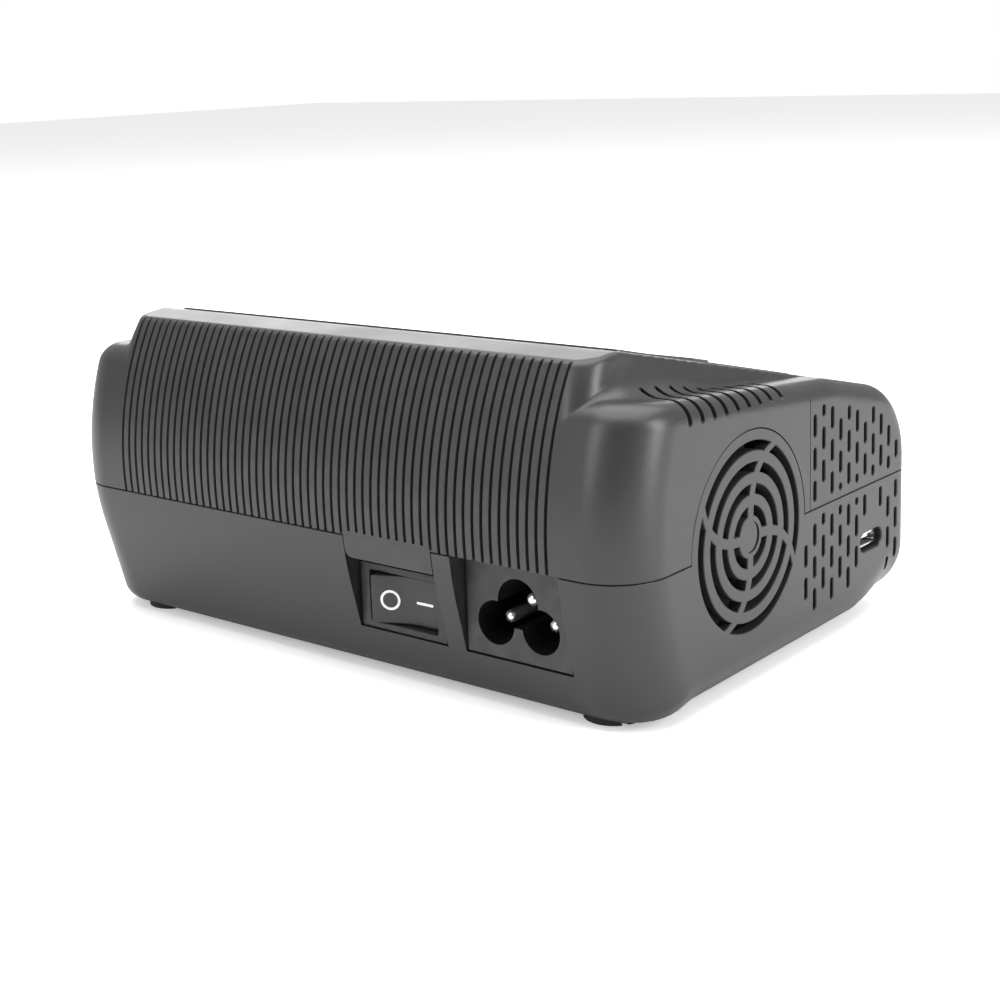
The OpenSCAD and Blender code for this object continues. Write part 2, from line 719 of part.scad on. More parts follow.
// The rocker, drawn level with a shallow valley in its face, and then turned so that its "off" side is out.
module rocker() {
    half = rocker_w / 2 - 0.5;
    edge = rocker_pivot_in + 0.2;
    valley = edge - half * tan(rocker_throw);
    color("#27282a") translate([switch_x, face_y - rocker_pivot_in, switch_z]) rotate([0, 0, rocker_throw]) {
        translate([0, 0, -rocker_h / 2]) linear_extrude(rocker_h) polygon([
            [0, valley],
            [half, edge],
            [half - rocker_undercut, edge - rocker_rim],
            [rocker_foot, -rocker_low],
            [-rocker_foot, -rocker_low],
            [rocker_undercut - half, edge - rocker_rim],
            [-half, edge]
        ]);
        cylinder(r = rocker_hinge_r, h = switch_body[2], center = true, $fn = fine_fn);
    }
}
// Blades at the back of the switch: places across and up, length, thickness and width
blade_x = 4;
blade_z = 2.6;
blade_len = 6;
blade_t = 0.8;
blade_w = 2.4;
blade_root_y = face_y - switch_bezel_t - switch_body[1];
module switch_terminals() {
    color("#c9a54a") for (s = [-1, 1], t = [-1, 1])
        translate([switch_x + s * blade_x - blade_t / 2, blade_root_y - blade_len,
            switch_z + t * blade_z - blade_w / 2])
            cube([blade_t, blade_len, blade_w]);
}

// ---- Inlet ----
inlet_z = recess_z + 0.4 + 6.3;
lobe_r = 4.1;
top_lobe_r = 4.45;
top_lobe_z = 4.4;
inlet_cavity = 15;
pin_in = 3.6;
pin_tail = 4.5;
module inlet_places() {
    for (p = [[-pin_pitch / 2, 0], [pin_pitch / 2, 0], [0, top_lobe_z]])
        translate([inlet_x + p[0], face_y, inlet_z + p[1]]) rotate([90, 0, 0]) children();
}
module clover() {
    for (s = [-1, 1]) translate([s * pin_pitch / 2, 0]) circle(r = lobe_r, $fn = fine_fn);
    translate([0, top_lobe_z]) circle(r = top_lobe_r, $fn = fine_fn);
    translate([-3.6, 0]) square([7.2, 5]);
}
module mains_inlet() {
    w = inlet_w - 2 * fit_gap;
    h = inlet_h - seam_gap - 2 * fit_gap;
    color("#202123") difference() {
        translate([inlet_x - w / 2, face_y - inlet_depth, recess_z + fit_gap]) cube([w, inlet_depth, h]);
        translate([inlet_x, face_y + over, inlet_z]) rotate([90, 0, 0])
            linear_extrude(inlet_cavity + over) clover();
        inlet_places() cylinder(r = inlet_pin_r + 0.02, h = inlet_depth + over, $fn = fine_fn);
    }
}
module inlet_pins() {
    color("#c8ccd0") inlet_places() {
        translate([0, 0, pin_in + 0.5])
            cylinder(r = inlet_pin_r, h = inlet_depth - pin_in - 0.5 + pin_tail, $fn = fine_fn);
        translate([0, 0, pin_in]) cylinder(r1 = 0.7, r2 = inlet_pin_r, h = 0.51, $fn = fine_fn);
    }
}

// ---- Fan ----
module fan_frame() {
    color("#1a1b1c") difference() {
        translate([fan_x0, fan_y - fan_size / 2, fan_z - fan_size / 2]) cube([fan_t, fan_size, fan_size]);
        translate([fan_x0 - over, fan_y, fan_z]) rotate([0, 90, 0]) difference() {
            cylinder(r = fan_bore_r, h = fan_t + 2 * over, $fn = 128);
            // hub plate and its struts, at the inner face
            translate([0, 0, fan_t - 1.5 + over]) {
                cylinder(r = hub_r, h = 1.5, $fn = fine_fn);
                for (a = [20, 140, 260]) rotate([0, 0, a]) translate([0, -1.2, 0])
                    cube([fan_size / 2, 2.4, 1.5]);
            }
            // shaft
            translate([0, 0, 4]) cylinder(r = 1, h = fan_t - 4 + over, $fn = fine_fn);
        }
        for (sy = [-1, 1], sz = [-1, 1])
            translate([fan_x0 - over, fan_y + sy * fan_hole_pitch / 2, fan_z + sz * fan_hole_pitch / 2])
                rotate([0, 90, 0]) cylinder(r = fan_hole_r, h = fan_t + 2 * over, $fn = fine_fn);
    }
}
module fan_rotor() {
    r_tip = fan_bore_r - blade_clear;
    t = fan_t - 3;
    color("#111213") translate([fan_x0 + 0.8, fan_y, fan_z]) rotate([0, 90, 0]) difference() {
        union() {
            cylinder(r = hub_r - 0.6, h = t, $fn = fine_fn);
            intersection() {
                for (i = [0:blade_n - 1]) rotate([0, 0, i * 360 / blade_n]) translate([0, 0, t / 2])
                    rotate([38, 0, 0]) translate([hub_r - 3, -4.6, -0.5]) cube([fan_size / 2, 9.2, 1]);
                translate([0, 0, 0.2]) cylinder(r = r_tip, h = t - 0.4, $fn = 128);
            }
        }
        translate([0, 0, 1.4]) cylinder(r = 1.06, h = t, $fn = fine_fn);
    }
}
module fan_screws() {
    color("#74777b") for (sy = [-1, 1], sz = [-1, 1])
        translate([fan_x0 + 0.5, fan_y + sy * fan_hole_pitch / 2, fan_z + sz * fan_hole_pitch / 2])
            rotate([0, 90, 0]) {
                cylinder(r = 1.4, h = fan_t - 0.48, $fn = fine_fn);
                translate([0, 0, fan_t - 0.5]) cylinder(r = 2.6, h = 1.6, $fn = fine_fn);
            }
}

// ---- Boards ----
module main_board() {
    x0 = -half_w + wall + 1.6;
    color("#20603d") difference() {
        translate([x0, main_y0, main_z]) cube([main_x1 - x0, main_y1 - main_y0, board_t]);
        for (p = post_places) translate([p[0], p[1], main_z - over])
            cylinder(r = post_r + 0.5, h = board_t + 2 * over, $fn = fine_fn);
        for (p = main_stands) translate([p[0], p[1], main_z - over])
            cylinder(r = board_hole_r, h = board_t + 2 * over, $fn = fine_fn);
    }
}
module power_board() {
    color("#8a6a2a") difference() {
        translate([supply_x0, supply_y0, supply_z])
            cube([supply_x1 - supply_x0, supply_y1 - supply_y0, board_t]);
        translate([supply_x1 - supply_notch, supply_y1 - supply_notch, supply_z - over])
            cube([supply_notch + over, supply_notch + over, board_t + 2 * over]);
        for (p = supply_stands) translate([p[0], p[1], supply_z - over])
            cylinder(r = board_hole_r, h = board_t + 2 * over, $fn = fine_fn);
    }
}
module board_screws() {
    color("#7b7e82") {
        for (p = main_stands) translate([p[0], p[1], main_top + 0.01]) pan_screw();
        for (p = supply_stands) translate([p[0], p[1], supply_top + 0.01]) pan_screw();
        on_deck() for (p = deck_posts) translate([p[0], p[1], -board_w_deck - board_t - 0.01])
            rotate([180, 0, 0]) pan_screw();
    }
}
module pan_screw() {
    cylinder(r = 2.1, h = 1.4, $fn = fine_fn);
    translate([0, 0, -5]) cylinder(r = board_screw_r, h = 5.01, $fn = fine_fn);
}

module control_chip() {
    color("#1c1c1e") translate([-20, front_y + 24, main_top + 0.02]) cube([12, 12, 1.6]);
}
module buck_inductor() {
    color("#3c3d3f") translate([24, front_y + 26, main_top + 0.02]) difference() {
        cylinder(r = 8, h = 9, $fn = fine_fn);
        translate([0, 0, 2]) cylinder(r = 3, h = 8, $fn = fine_fn);
    }
}
module main_heat_sink() {
    fins = 7;
    color("#a9adb1") translate([-6, front_y + 19, main_top + 0.02]) {
        cube([18, 15, 2]);
        for (i = [0:fins - 1]) translate([i * (18 - 1) / (fins - 1), 0, 1.99]) cube([1, 15, 10]);
    }
}
module buzzer() {
    color("#161617") translate([40, main_y1 - 8, main_top + 0.02]) difference() {
        cylinder(r = 6, h = 8.5, $fn = fine_fn);
        translate([0, 0, 6.5]) cylinder(r = 1.2, h = 3, $fn = fine_fn);
    }
}

usb_w = 7.5;
usb_h = 2.7;
usb_depth = 5.6;
usb_x = -half_w + 1.2;
module usb_socket() {
    color("#b9bdc1") in_left_wall(usb_y, seam_z - usb_drop, usb_x, usb_depth) difference() {
        rounded_rect(usb_w, usb_h, 0.9);
        rounded_rect(usb_w - 0.7, usb_h - 0.7, 0.55);
    }
    color("#b9bdc1") in_left_wall(usb_y, seam_z - usb_drop, usb_x + usb_depth, 0.5)
        rounded_rect(usb_w, usb_h, 0.9);
}
usb_tongue_w = 5.2;
module usb_tongue() {
    color("#d5d7da") translate([usb_x + 1, usb_y - usb_tongue_w / 2, seam_z - usb_drop - 0.1])
        cube([usb_depth - 1, usb_tongue_w, 0.6]);
}

module output_sockets() {
    color("#8e1f1f") for (s = [-1, 1]) translate([socket_x + s * socket_pitch / 2, front_y, socket_z])
        rotate([-90, 0, 0]) difference() {
            union() {
                cylinder(r = socket_flange_r, h = socket_flange_t, $fn = fine_fn);
                cylinder(r = socket_body_r, h = socket_bore, $fn = fine_fn);
            }
            translate([0, 0, -2]) cylinder(r = socket_tube_r + 0.02, h = socket_bore + 4, $fn = fine_fn);
        }
}
module output_contacts() {
    color("#d8b65a") for (s = [-1, 1]) translate([socket_x + s * socket_pitch / 2, front_y, socket_z])
        rotate([-90, 0, 0]) difference() {
            translate([0, 0, 0.3]) cylinder(r = socket_tube_r, h = socket_bore + 2, $fn = fine_fn);
            translate([0, 0, -1]) cylinder(r = socket_r, h = socket_bore + 1, $fn = fine_fn);
        }
}

// A balance socket for n wires.
module balance_socket(n) {
    color("#d9dadb") translate([xh_left(n), xh_front, main_top + 0.02]) difference() {
        cube([xh_w(n), xh_depth, xh_h]);
        translate([xh_wall, -over, xh_wall])
            cube([xh_w(n) - 2 * xh_wall, xh_cavity + over, xh_h - 2 * xh_wall]);
        for (i = [0:n - 1]) translate([xh_end + i * xh_pitch - 0.34, xh_cavity - over, xh_h / 2 - 0.34])
            cube([0.68, xh_depth, 0.68]);
    }
}
module balance_2s() { balance_socket(3); }
module balance_3s() { balance_socket(4); }
module balance_4s() { balance_socket(5); }
module balance_5s() { balance_socket(6); }
module balance_6s() { balance_socket(7); }
module balance_pins() {
    color("#c9ccd0") for (n = [3:7], i = [0:n - 1])
        translate([xh_left(n) + xh_end + i * xh_pitch - xh_pin / 2, xh_front + xh_pin_back,
                main_top + 0.02 + xh_h / 2 - xh_pin / 2])
            cube([xh_pin, xh_depth - xh_pin_back + 1.5, xh_pin]);
}

// ---- Mains supply ----
coil_x = supply_x0 + 38;
coil_y = supply_y0 + 20;
core = [26, 22, 24];
module transformer_core() {
    color("#4b4c50") translate([coil_x - core[0] / 2, coil_y - core[1] / 2, supply_top + 3]) difference() {
        cube(core);
        for (s = [-1, 1]) translate([core[0] / 2 + s * 7.5 - 3.5, -over, 4])
            cube([7, core[1] + 2 * over, core[2] - 8]);
    }
}
module transformer_coil() {
    color("#c8a32c") translate([coil_x, coil_y, supply_top + 0.02]) {
        for (s = [-1, 1]) translate([-12.9, s * 12.6 - 1.4, 0]) cube([25.8, 2.8, 2.9]);
        for (s = [-1, 1]) translate([s * 7.5 - 3.3, -core[1] / 2 - 2.6, 2.8 + 4.3]) {
            cube([6.6, core[1] + 5.2, core[2] - 8.6]);
            cube([6.6, 2.5, 3]);
        }
        for (s = [-1, 1]) translate([-10.8, s * (core[1] / 2 + 1.35) - 1.25, 2.8])
            cube([21.6, 2.5, core[2] - 4]);
    }
}
module bulk_capacitors() {
    color("#24313f") for (y = [supply_y0 + 14, supply_y0 + 31])
        translate([supply_x0 + 12.5, y, supply_top + 0.02]) difference() {
            cylinder(r = 8, h = 30, $fn = fine_fn);
            translate([0, 0, 29.4]) cylinder(r = 6.5, h = 1, $fn = fine_fn);
        }
}
module line_choke() {
    color("#a4562a") translate([supply_x1 - 11, supply_y0 + 26.8, supply_top + 0.02]) difference() {
        cylinder(r = 7.5, h = 11, $fn = fine_fn);
        translate([0, 0, 2]) cylinder(r = 3.2, h = 10, $fn = fine_fn);
    }
}
module supply_heat_sink() {
    x = supply_x1 - 3;
    color("#b4b8bc") translate([x, supply_y0 + 9, supply_top + 0.02]) {
        cube([1.8, 12, 30]);
        for (i = [0:4]) translate([-5, i * 2.6, 12]) cube([5.01, 1, 18]);
    }
}
module supply_transistors() {
    color("#1d1d1f") translate([supply_x1 - 3 - 4.6, supply_y0 + 9.2, supply_top + 0.5])
        cube([4.5, 10, 10.5]);
}

// ---- Wiring ----
lead_r = 0.9;
lead_turn_r = 1.15;
lead_sides = 8;
// An eight-sided lead that runs through the points in order, with a ball at each turn.
module lead(points) {
    for (i = [0:len(points) - 2]) {
        d = points[i + 1] - points[i];
        len_xy = norm([d[0], d[1]]);
        translate(points[i]) rotate([0, atan2(len_xy, d[2]), atan2(d[1], d[0])])
            cylinder(r = lead_r, h = norm(d), $fn = lead_sides);
        if (i > 0) translate(points[i]) sphere(r = lead_turn_r, $fn = lead_sides);
    }
}
module mains_leads() {
    tail_y = face_y - inlet_depth - pin_tail - 0.3;
    // the leads end just short of the blades
    blade_y = blade_root_y - blade_len - 0.4;
    color("#6b3a22") {
        for (t = [-1, 1]) {
            pin_x = inlet_x + t * pin_pitch / 2;
            lead([
                [pin_x, tail_y, inlet_z],
                [pin_x, tail_y - 3 + t, inlet_z],
                [switch_x - blade_x, blade_y - 6 + t * 2, switch_z + t * blade_z],
                [switch_x - blade_x, blade_y, switch_z + t * blade_z]
            ]);
            lead([
                [switch_x + blade_x, blade_y, switch_z + t * blade_z],
                [switch_x + blade_x, blade_y - 4, switch_z + t * blade_z],
                [supply_x0 + 2, blade_y - 6, supply_top + 4 + t * blade_z]
            ]);
        }
    }
}

upper_shell();
lower_shell();
top_overlay();
display_window();
display_module();
display_board();
button_stop();
button_down();
button_up();
button_start();
key_switches();
switch_housing();
rocker();
switch_terminals();
mains_inlet();
inlet_pins();
fan_frame();
fan_rotor();
fan_screws();
main_board();
control_chip();
buck_inductor();
main_heat_sink();
usb_socket();
usb_tongue();
output_sockets();
output_contacts();
balance_2s();
balance_3s();
balance_4s();
balance_5s();
balance_6s();
balance_pins();
power_board();
transformer_core();
transformer_coil();
bulk_capacitors();
line_choke();
supply_heat_sink();
supply_transistors();
buzzer();
mains_leads();
rubber_feet();
case_screws();
board_screws();
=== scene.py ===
import math

import bmesh
import bpy
import numpy as np
from mathutils import Matrix, Vector


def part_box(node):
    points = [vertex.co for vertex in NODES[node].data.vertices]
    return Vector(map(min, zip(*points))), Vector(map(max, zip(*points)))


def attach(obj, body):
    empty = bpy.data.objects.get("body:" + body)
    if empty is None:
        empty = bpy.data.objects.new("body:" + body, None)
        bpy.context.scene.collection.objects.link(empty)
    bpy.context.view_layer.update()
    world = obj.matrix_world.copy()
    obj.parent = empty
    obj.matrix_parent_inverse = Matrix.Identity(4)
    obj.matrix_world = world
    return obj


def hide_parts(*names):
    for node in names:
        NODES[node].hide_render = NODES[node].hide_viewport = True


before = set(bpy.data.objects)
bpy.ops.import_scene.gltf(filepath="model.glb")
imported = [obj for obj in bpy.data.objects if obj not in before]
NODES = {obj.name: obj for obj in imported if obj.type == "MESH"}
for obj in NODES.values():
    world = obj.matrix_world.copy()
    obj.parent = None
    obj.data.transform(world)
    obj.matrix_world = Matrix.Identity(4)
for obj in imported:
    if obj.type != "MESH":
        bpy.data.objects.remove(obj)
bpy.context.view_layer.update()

bl_info = {
    "name": "Balance battery charger",
    "version": (1, 0, 0),
    "blender": (4, 5, 0),
    "location": "View3D > Sidebar > Charger",
    "description": "Builds the shells, switch, inlet and finishes of a balance battery charger",
    "category": "Object",
}

MM = 0.001

# Sizes in millimetres and radians. The case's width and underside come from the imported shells.
HALF_W = float((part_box("upper_shell")[1] / MM).x)
BACK_Y = 50.75
FRONT_Y = -50.75
BOTTOM_Z = float((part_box("lower_shell")[0] / MM).z)
SEAM_Z = 28.5
SEAM_GAP = 0.2
BARREL_R = 60.0
BARREL_Z = SEAM_Z + 5.0
DRAFT = math.radians(14)
CORNER_R = 10.5

# The raised deck, the ledges beside it and the nose
DECK_RISE = 40.3
DECK_SLOPE = math.radians(13.36)
DECK_EDGE = 17.0
DECK_HALF = 59.0
DECK_SPREAD = 7.0
DECK_CORNER_R = 5.0
DECK_EDGE_R = 0.9
CHEEK_LEAN = math.radians(8)
FOOT_R = 4.6
LEDGE_RISE = 30.2
LEDGE_FALL = 0.0932
LEDGE_R = 4.0
NOSE_R = 17.0
NOSE_Y = FRONT_Y + NOSE_R

# Grooves, louvres, side slots, grille and holes
GROOVES = 56
GROOVE_PITCH = 2.0
RIB_TOP = SEAM_Z + 35.6
LOUVRES = 9
LOUVRE_FIRST = 18.5
LOUVRE_PITCH = 3.95
LOUVRE_W = 1.2
LOUVRE_DROP = 4.3
LOUVRE_CLIMB = 0.25
FAN_Y = BACK_Y - 38
FAN_Z = SEAM_Z + 0.3
GRILLE_R = 19.8
RINGS = 4
RING_FIRST = 3.95
RING_PITCH = 3.94
RING_W = 1.8
SPOKE_HALF = 1.0
SPOKE_SWIRL = 0.114
VENT_FIRST = 58.3
VENT_PITCH = 3.4
VENT_STEP = 6.4
VENT_W = 1.25
VENT_HALF = 2.175
USB_Y = BACK_Y - 85
USB_Z = SEAM_Z - 11.7
USB_SIZE = (9.3, 3.9)
BALANCE_X = (-52.0, -40.5, -26.5, -10.0, 9.0)
BALANCE_Z = (15.22, 21.27)
OUTPUT_X = (38.5, 57.5)
OUTPUT_Z = 21.55

# Recesses for the inlet and the switch
FACE_Y = BACK_Y - 4.25
RECESS_Z = 9.7
INLET_X = -45.25
INLET_Z = RECESS_Z + 6.7
SWITCH_X = -18.1
SWITCH_Z = 16.2
SWITCH_HALF = 10.9
PIVOT_Y = FACE_Y - 3.4
THROW = math.radians(12)


# ---- shape of the outside, as distances ----
def round_max(a, b, r):
    """Distance to what two bodies share, with their edge rounded."""
    return np.minimum(-r, np.maximum(a, b)) + np.hypot(np.maximum(r + a, 0), np.maximum(r + b, 0))


def round_min(a, b, r):
    """Distance to two bodies together, with a fillet between them."""
    return np.maximum(r, np.minimum(a, b)) - np.hypot(np.maximum(r - a, 0), np.maximum(r - b, 0))


def ramp(v, lo, hi):
    """0 below lo, 1 above hi and a smooth rise between."""
    t = np.clip((v - lo) / (hi - lo), 0, 1)
    return t * t * (3 - 2 * t)


def deck_z(y):
    """Height of the sloped deck."""
    return SEAM_Z + DECK_RISE - math.tan(DECK_SLOPE) * (BACK_Y - y)


def ledge_z(y):
    """Height of the ledges beside the deck."""
    return SEAM_Z + LEDGE_RISE - LEDGE_FALL * (BACK_Y - y)


def back_face(y, z):
    """The bulging back, which runs out straight and leaning below."""
    dy = y - (BACK_Y - BARREL_R)
    dz = z - BARREL_Z
    straight = dy * math.cos(DRAFT) - dz * math.sin(DRAFT) - BARREL_R
    round_part = np.hypot(dy, dz) - BARREL_R
    return np.where(dy * math.sin(DRAFT) + dz * math.cos(DRAFT) < 0, straight, round_part)


def back_y(z):
    """Where the back face is at a height."""
    dz = z - BARREL_Z
    if dz < -BARREL_R * math.sin(DRAFT):
        return BACK_Y - BARREL_R + (BARREL_R + dz * math.sin(DRAFT)) / math.cos(DRAFT)
    return BACK_Y - BARREL_R + math.sqrt(BARREL_R ** 2 - dz ** 2)


def nose(y, z):
    """The sloped deck, the round nose and the front face, as one profile."""
    s, c = math.sin(DECK_SLOPE), math.cos(DECK_SLOPE)
    py = y - NOSE_Y
    pz = z - (deck_z(NOSE_Y) - NOSE_R / c)
    deck = -s * py + c * pz - NOSE_R
    return np.where(c * py + s * pz > 0, deck,
                    np.where(pz < 0, -py - NOSE_R, np.hypot(py, pz) - NOSE_R))


def upper_distance(x, y, z):
    """The upper shell's outside: ledges all round, with the deck standing up from them."""
    depth = BACK_Y - y
    side = np.abs(x) - HALF_W
    back = back_face(y, z)
    front = nose(y, z)
    walls = round_max(side, back, CORNER_R)
    ledge = (z - ledge_z(y)) * math.cos(math.atan(LEDGE_FALL))
    low = round_max(walls, round_max(ledge, front, 0.15), LEDGE_R)
    half = DECK_HALF + DECK_SPREAD * np.clip((depth - 15) / 55, 0, 1.6)
    cheek = (np.abs(x) - half - (deck_z(y) - z) * math.tan(CHEEK_LEAN)) * math.cos(CHEEK_LEAN)
    strip_y = BACK_Y - DECK_EDGE
    rise = deck_z(strip_y) - RIB_TOP
    run = back_y(RIB_TOP) - strip_y
    strip = ((y - strip_y) * rise + (z - deck_z(strip_y)) * run) / math.hypot(rise, run)
    top = round_max(front, strip, 0.25)
    high = round_max(round_max(cheek, back, DECK_CORNER_R), top, DECK_EDGE_R)
    high = np.maximum(high, round_max(walls, front, LEDGE_R))
    fillet = FOOT_R * (1 - ramp(depth, 22, 44)) + 0.9 * (1 - ramp(depth, 50, 66))
    fillet = 0.01 + fillet * ramp(-back, 0.2, 9)
    return round_min(low, high, fillet)


def lower_distance(x, y, z):
    """The lower shell's outside, with a bottom edge that is rounder towards the front."""
    side = np.abs(x) - HALF_W
    corner = CORNER_R + 1.5 * (SEAM_Z - z) / (SEAM_Z - BOTTOM_Z)
    back = round_max(side, back_face(y, z), corner)
    front = round_max(side, FRONT_Y - y, 4.0)
    roll = 7 + 5 * ramp(-y, 30, 46) - 4 * ramp(y, 28, 42)
    return round_max(np.maximum(back, front), BOTTOM_Z - z, roll)


# ---- closed bodies in millimetres ----
class Solid:
    """Closed bodies that are collected and then made into one object."""

    def __init__(self):
        self.points = []
        self.faces = []

    def loft(self, loops):
        """A body through loops of equally many points, closed by its first and last loop."""
        loops = [np.asarray(loop, float) for loop in loops]
        n = len(loops[0])
        base = len(self.points)
        pts = np.vstack(loops)
        faces = [[base + i for i in range(n)][::-1],
                 [base + (len(loops) - 1) * n + i for i in range(n)]]
        for k in range(len(loops) - 1):
            a = base + k * n
            for i in range(n):
                j = (i + 1) % n
                faces.append([a + i, a + j, a + n + j, a + n + i])
        volume = 0.0
        for face in faces:
            p0 = pts[face[0] - base]
            for i in range(1, len(face) - 1):
                volume += np.dot(p0, np.cross(pts[face[i] - base], pts[face[i + 1] - base]))
        if volume < 0:
            faces = [face[::-1] for face in faces]
        self.points.extend(map(tuple, pts))
        self.faces.extend(faces)
        return self

    def box(self, lo, hi):
        """A box from its lowest to its highest corner."""
        (x0, y0, z0), (x1, y1, z1) = lo, hi
        return self.loft([[(x, y0, z0), (x, y1, z0), (x, y1, z1), (x, y0, z1)] for x in (x0, x1)])


def along_x(outline, stations):
    """Loops of an outline in (y, z) at stations (x, growth)."""
    return [[(x, y, z) for y, z in grow(outline, g)] for x, g in stations]


def along_y(outline, stations):
    """Loops of an outline in (x, z) at stations (y, growth)."""
    return [[(x, y, z) for x, z in grow(outline, g)] for y, g in stations]


def along_z(outline, stations):
    """Loops of an outline in (x, y) at stations (z, growth)."""
    return [[(x, y, z) for x, y in grow(outline, g)] for z, g in stations]


def grow(outline, g):
    """The outline moved outwards by g."""
    pts = np.asarray(outline, float)
    if g == 0:
        return pts
    nxt, prv = np.roll(pts, -1, 0), np.roll(pts, 1, 0)
    area = np.sum(pts[:, 0] * nxt[:, 1] - nxt[:, 0] * pts[:, 1])
    sign = 1 if area > 0 else -1
    e1 = pts - prv
    e2 = nxt - pts
    n1 = sign * np.column_stack([e1[:, 1], -e1[:, 0]]) / np.linalg.norm(e1, axis=1)[:, None]
    n2 = sign * np.column_stack([e2[:, 1], -e2[:, 0]]) / np.linalg.norm(e2, axis=1)[:, None]
    mid = n1 + n2
    mid /= np.sum(mid * n1, axis=1)[:, None]
    return pts + mid * g


def circle(cx, cy, r, n=48):
    """A round outline."""
    return [(cx + r * math.cos(2 * math.pi * i / n), cy + r * math.sin(2 * math.pi * i / n))
            for i in range(n)]


def rounded(cx, cy, w, h, r, n=6):
    """A rectangle with rounded corners."""
    out = []
    for k, (sx, sy) in enumerate([(1, 1), (-1, 1), (-1, -1), (1, -1)]):
        for i in range(n + 1):
            a = math.pi / 2 * (k + i / n)
            out.append((cx + sx * (w / 2 - r) + r * math.cos(a),
                        cy + sy * (h / 2 - r) + r * math.sin(a)))
    return out


def as_object(solid, name):
    """A mesh object of a Solid, still in millimetres."""
    mesh = bpy.data.meshes.new(name)
    mesh.from_pydata(solid.points, [], solid.faces)
    mesh.update()
    obj = bpy.data.objects.new(name, mesh)
    bpy.context.scene.collection.objects.link(obj)
    return obj


def apply_modifiers(obj):
    """Puts the result of the modifiers into the mesh."""
    graph = bpy.context.evaluated_depsgraph_get()
    mesh = bpy.data.meshes.new_from_object(obj.evaluated_get(graph))
    old = obj.data
    obj.modifiers.clear()
    obj.data = mesh
    bpy.data.meshes.remove(old)


def carve(obj, tool, operation="DIFFERENCE"):
    """A boolean of obj with a tool, which is then removed."""
    if isinstance(tool, Solid):
        tool = as_object(tool, "tool")
    mod = obj.modifiers.new("carve", "BOOLEAN")
    mod.operation = operation
    mod.solver = "MANIFOLD"
    mod.object = tool
    apply_modifiers(obj)
    if len(obj.data.polygons) < 4:
        raise RuntimeError(f"{obj.name}: nothing is left after {operation}")
    data = tool.data
    bpy.data.objects.remove(tool)
    bpy.data.meshes.remove(data)


def bevel(obj, width, segments=3, angle=35):
    """Rounds the edges that are sharper than an angle in degrees."""
    mod = obj.modifiers.new("edge", "BEVEL")
    mod.width = width
    mod.segments = segments
    mod.limit_method = "ANGLE"
    mod.angle_limit = math.radians(angle)
    apply_modifiers(obj)


def settle(obj, body, materials, cad=(), smooth=32):
    """Scales a piece to metres, shades it, gives it its body and finishes, and hides the CAD nodes
    it stands in for.
    """
    obj.data.transform(Matrix.Scale(MM, 4))
    mesh = obj.data
    mesh.polygons.foreach_set("use_smooth", np.ones(len(mesh.polygons), bool))
    mesh.set_sharp_from_angle(angle=math.radians(smooth))
    mesh.update()
    for i, material in enumerate(materials):
        if i < len(mesh.materials):
            mesh.materials[i] = material
        else:
            mesh.materials.append(material)
    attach(obj, body)
    if cad:
        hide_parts(*cad)
    return obj


def slopes(start, stop, step):
    """Slopes of a fan of rays, from one angle to another."""
    count = int(round((stop - start) / step))
    return [math.tan(math.radians(start + step * i)) for i in range(count + 1)]


def rays(mid, low_fan, high_fan):
    """Ray lattice along one axis: (start, slope) pairs, with a fan at each end."""
    low = [(mid[0], -s) for s in sorted(low_fan, reverse=True)]
    return np.array(low + [(m, 0.0) for m in mid] + [(mid[-1], s) for s in sorted(high_fan)])


def ray_body(name, distance, xs, ys, zs, up, offset=0.0, shift=None):
    """A closed body whose points lie where rays from inside meet the outside."""
    nx, ny, nz = len(xs), len(ys), len(zs)
    index = -np.ones((nx, ny, nz), int)
    on = np.zeros((nx, ny, nz), bool)
    on[0], on[-1], on[:, 0], on[:, -1], on[:, :, -1] = True, True, True, True, True
    index[on] = np.arange(on.sum())
    i, j, k = np.nonzero(on)
    start = np.column_stack([xs[i, 0], ys[j, 0], zs[k, 0]])
    way = np.column_stack([xs[i, 1], ys[j, 1], zs[k, 1]])
    lo = np.zeros(len(i))
    hi = np.full(len(i), 64.0)
    if np.any(distance(*start.T) + offset > 0):
        raise RuntimeError(f"{name}: rays start outside the body")
    for _ in range(24):
        mid = (lo + hi) / 2
        inside = distance(*(start + way * mid[:, None]).T) + offset < 0
        lo = np.where(inside, mid, lo)
        hi = np.where(inside, hi, mid)
    pts = start + way * lo[:, None]
    if shift is not None:
        length = np.linalg.norm(way, axis=1)
        pts -= way / length[:, None] * shift(i, k, pts)[:, None]

    def quads(grid, flip):
        a, b, c, d = grid[:-1, :-1], grid[1:, :-1], grid[1:, 1:], grid[:-1, 1:]
        q = np.stack([a, b, c, d], -1).reshape(-1, 4)
        return q[:, ::-1] if flip else q

    faces = np.vstack([
        quads(index[:, 0, :], not up), quads(index[:, -1, :], up),
        quads(index[-1, :, :], not up), quads(index[0, :, :], up), quads(index[:, :, -1], not up)])
    loop = (list(index[:-1, 0, 0]) + list(index[-1, :-1, 0]) + list(index[:0:-1, -1, 0])
            + list(index[0, :0:-1, 0]))
    loop = [int(v) for v in loop]
    solid = Solid()
    solid.points = pts.tolist()
    solid.faces = faces.tolist() + [loop[::-1] if up else loop]
    return as_object(solid, name)


# ---- finishes ----
def new_group(name, inputs, outputs):
    """A node group with its inputs (name, default), outputs (name, kind) and two end nodes."""
    group = bpy.data.node_groups.new(name, "ShaderNodeTree")
    for label, value in inputs:
        kind = "NodeSocketColor" if isinstance(value, tuple) else "NodeSocketFloat"
        socket = group.interface.new_socket(name=label, in_out="INPUT", socket_type=kind)
        socket.default_value = value
    for label, kind in outputs:
        group.interface.new_socket(name=label, in_out="OUTPUT", socket_type=kind)
    return group, group.nodes.new("NodeGroupInput"), group.nodes.new("NodeGroupOutput")


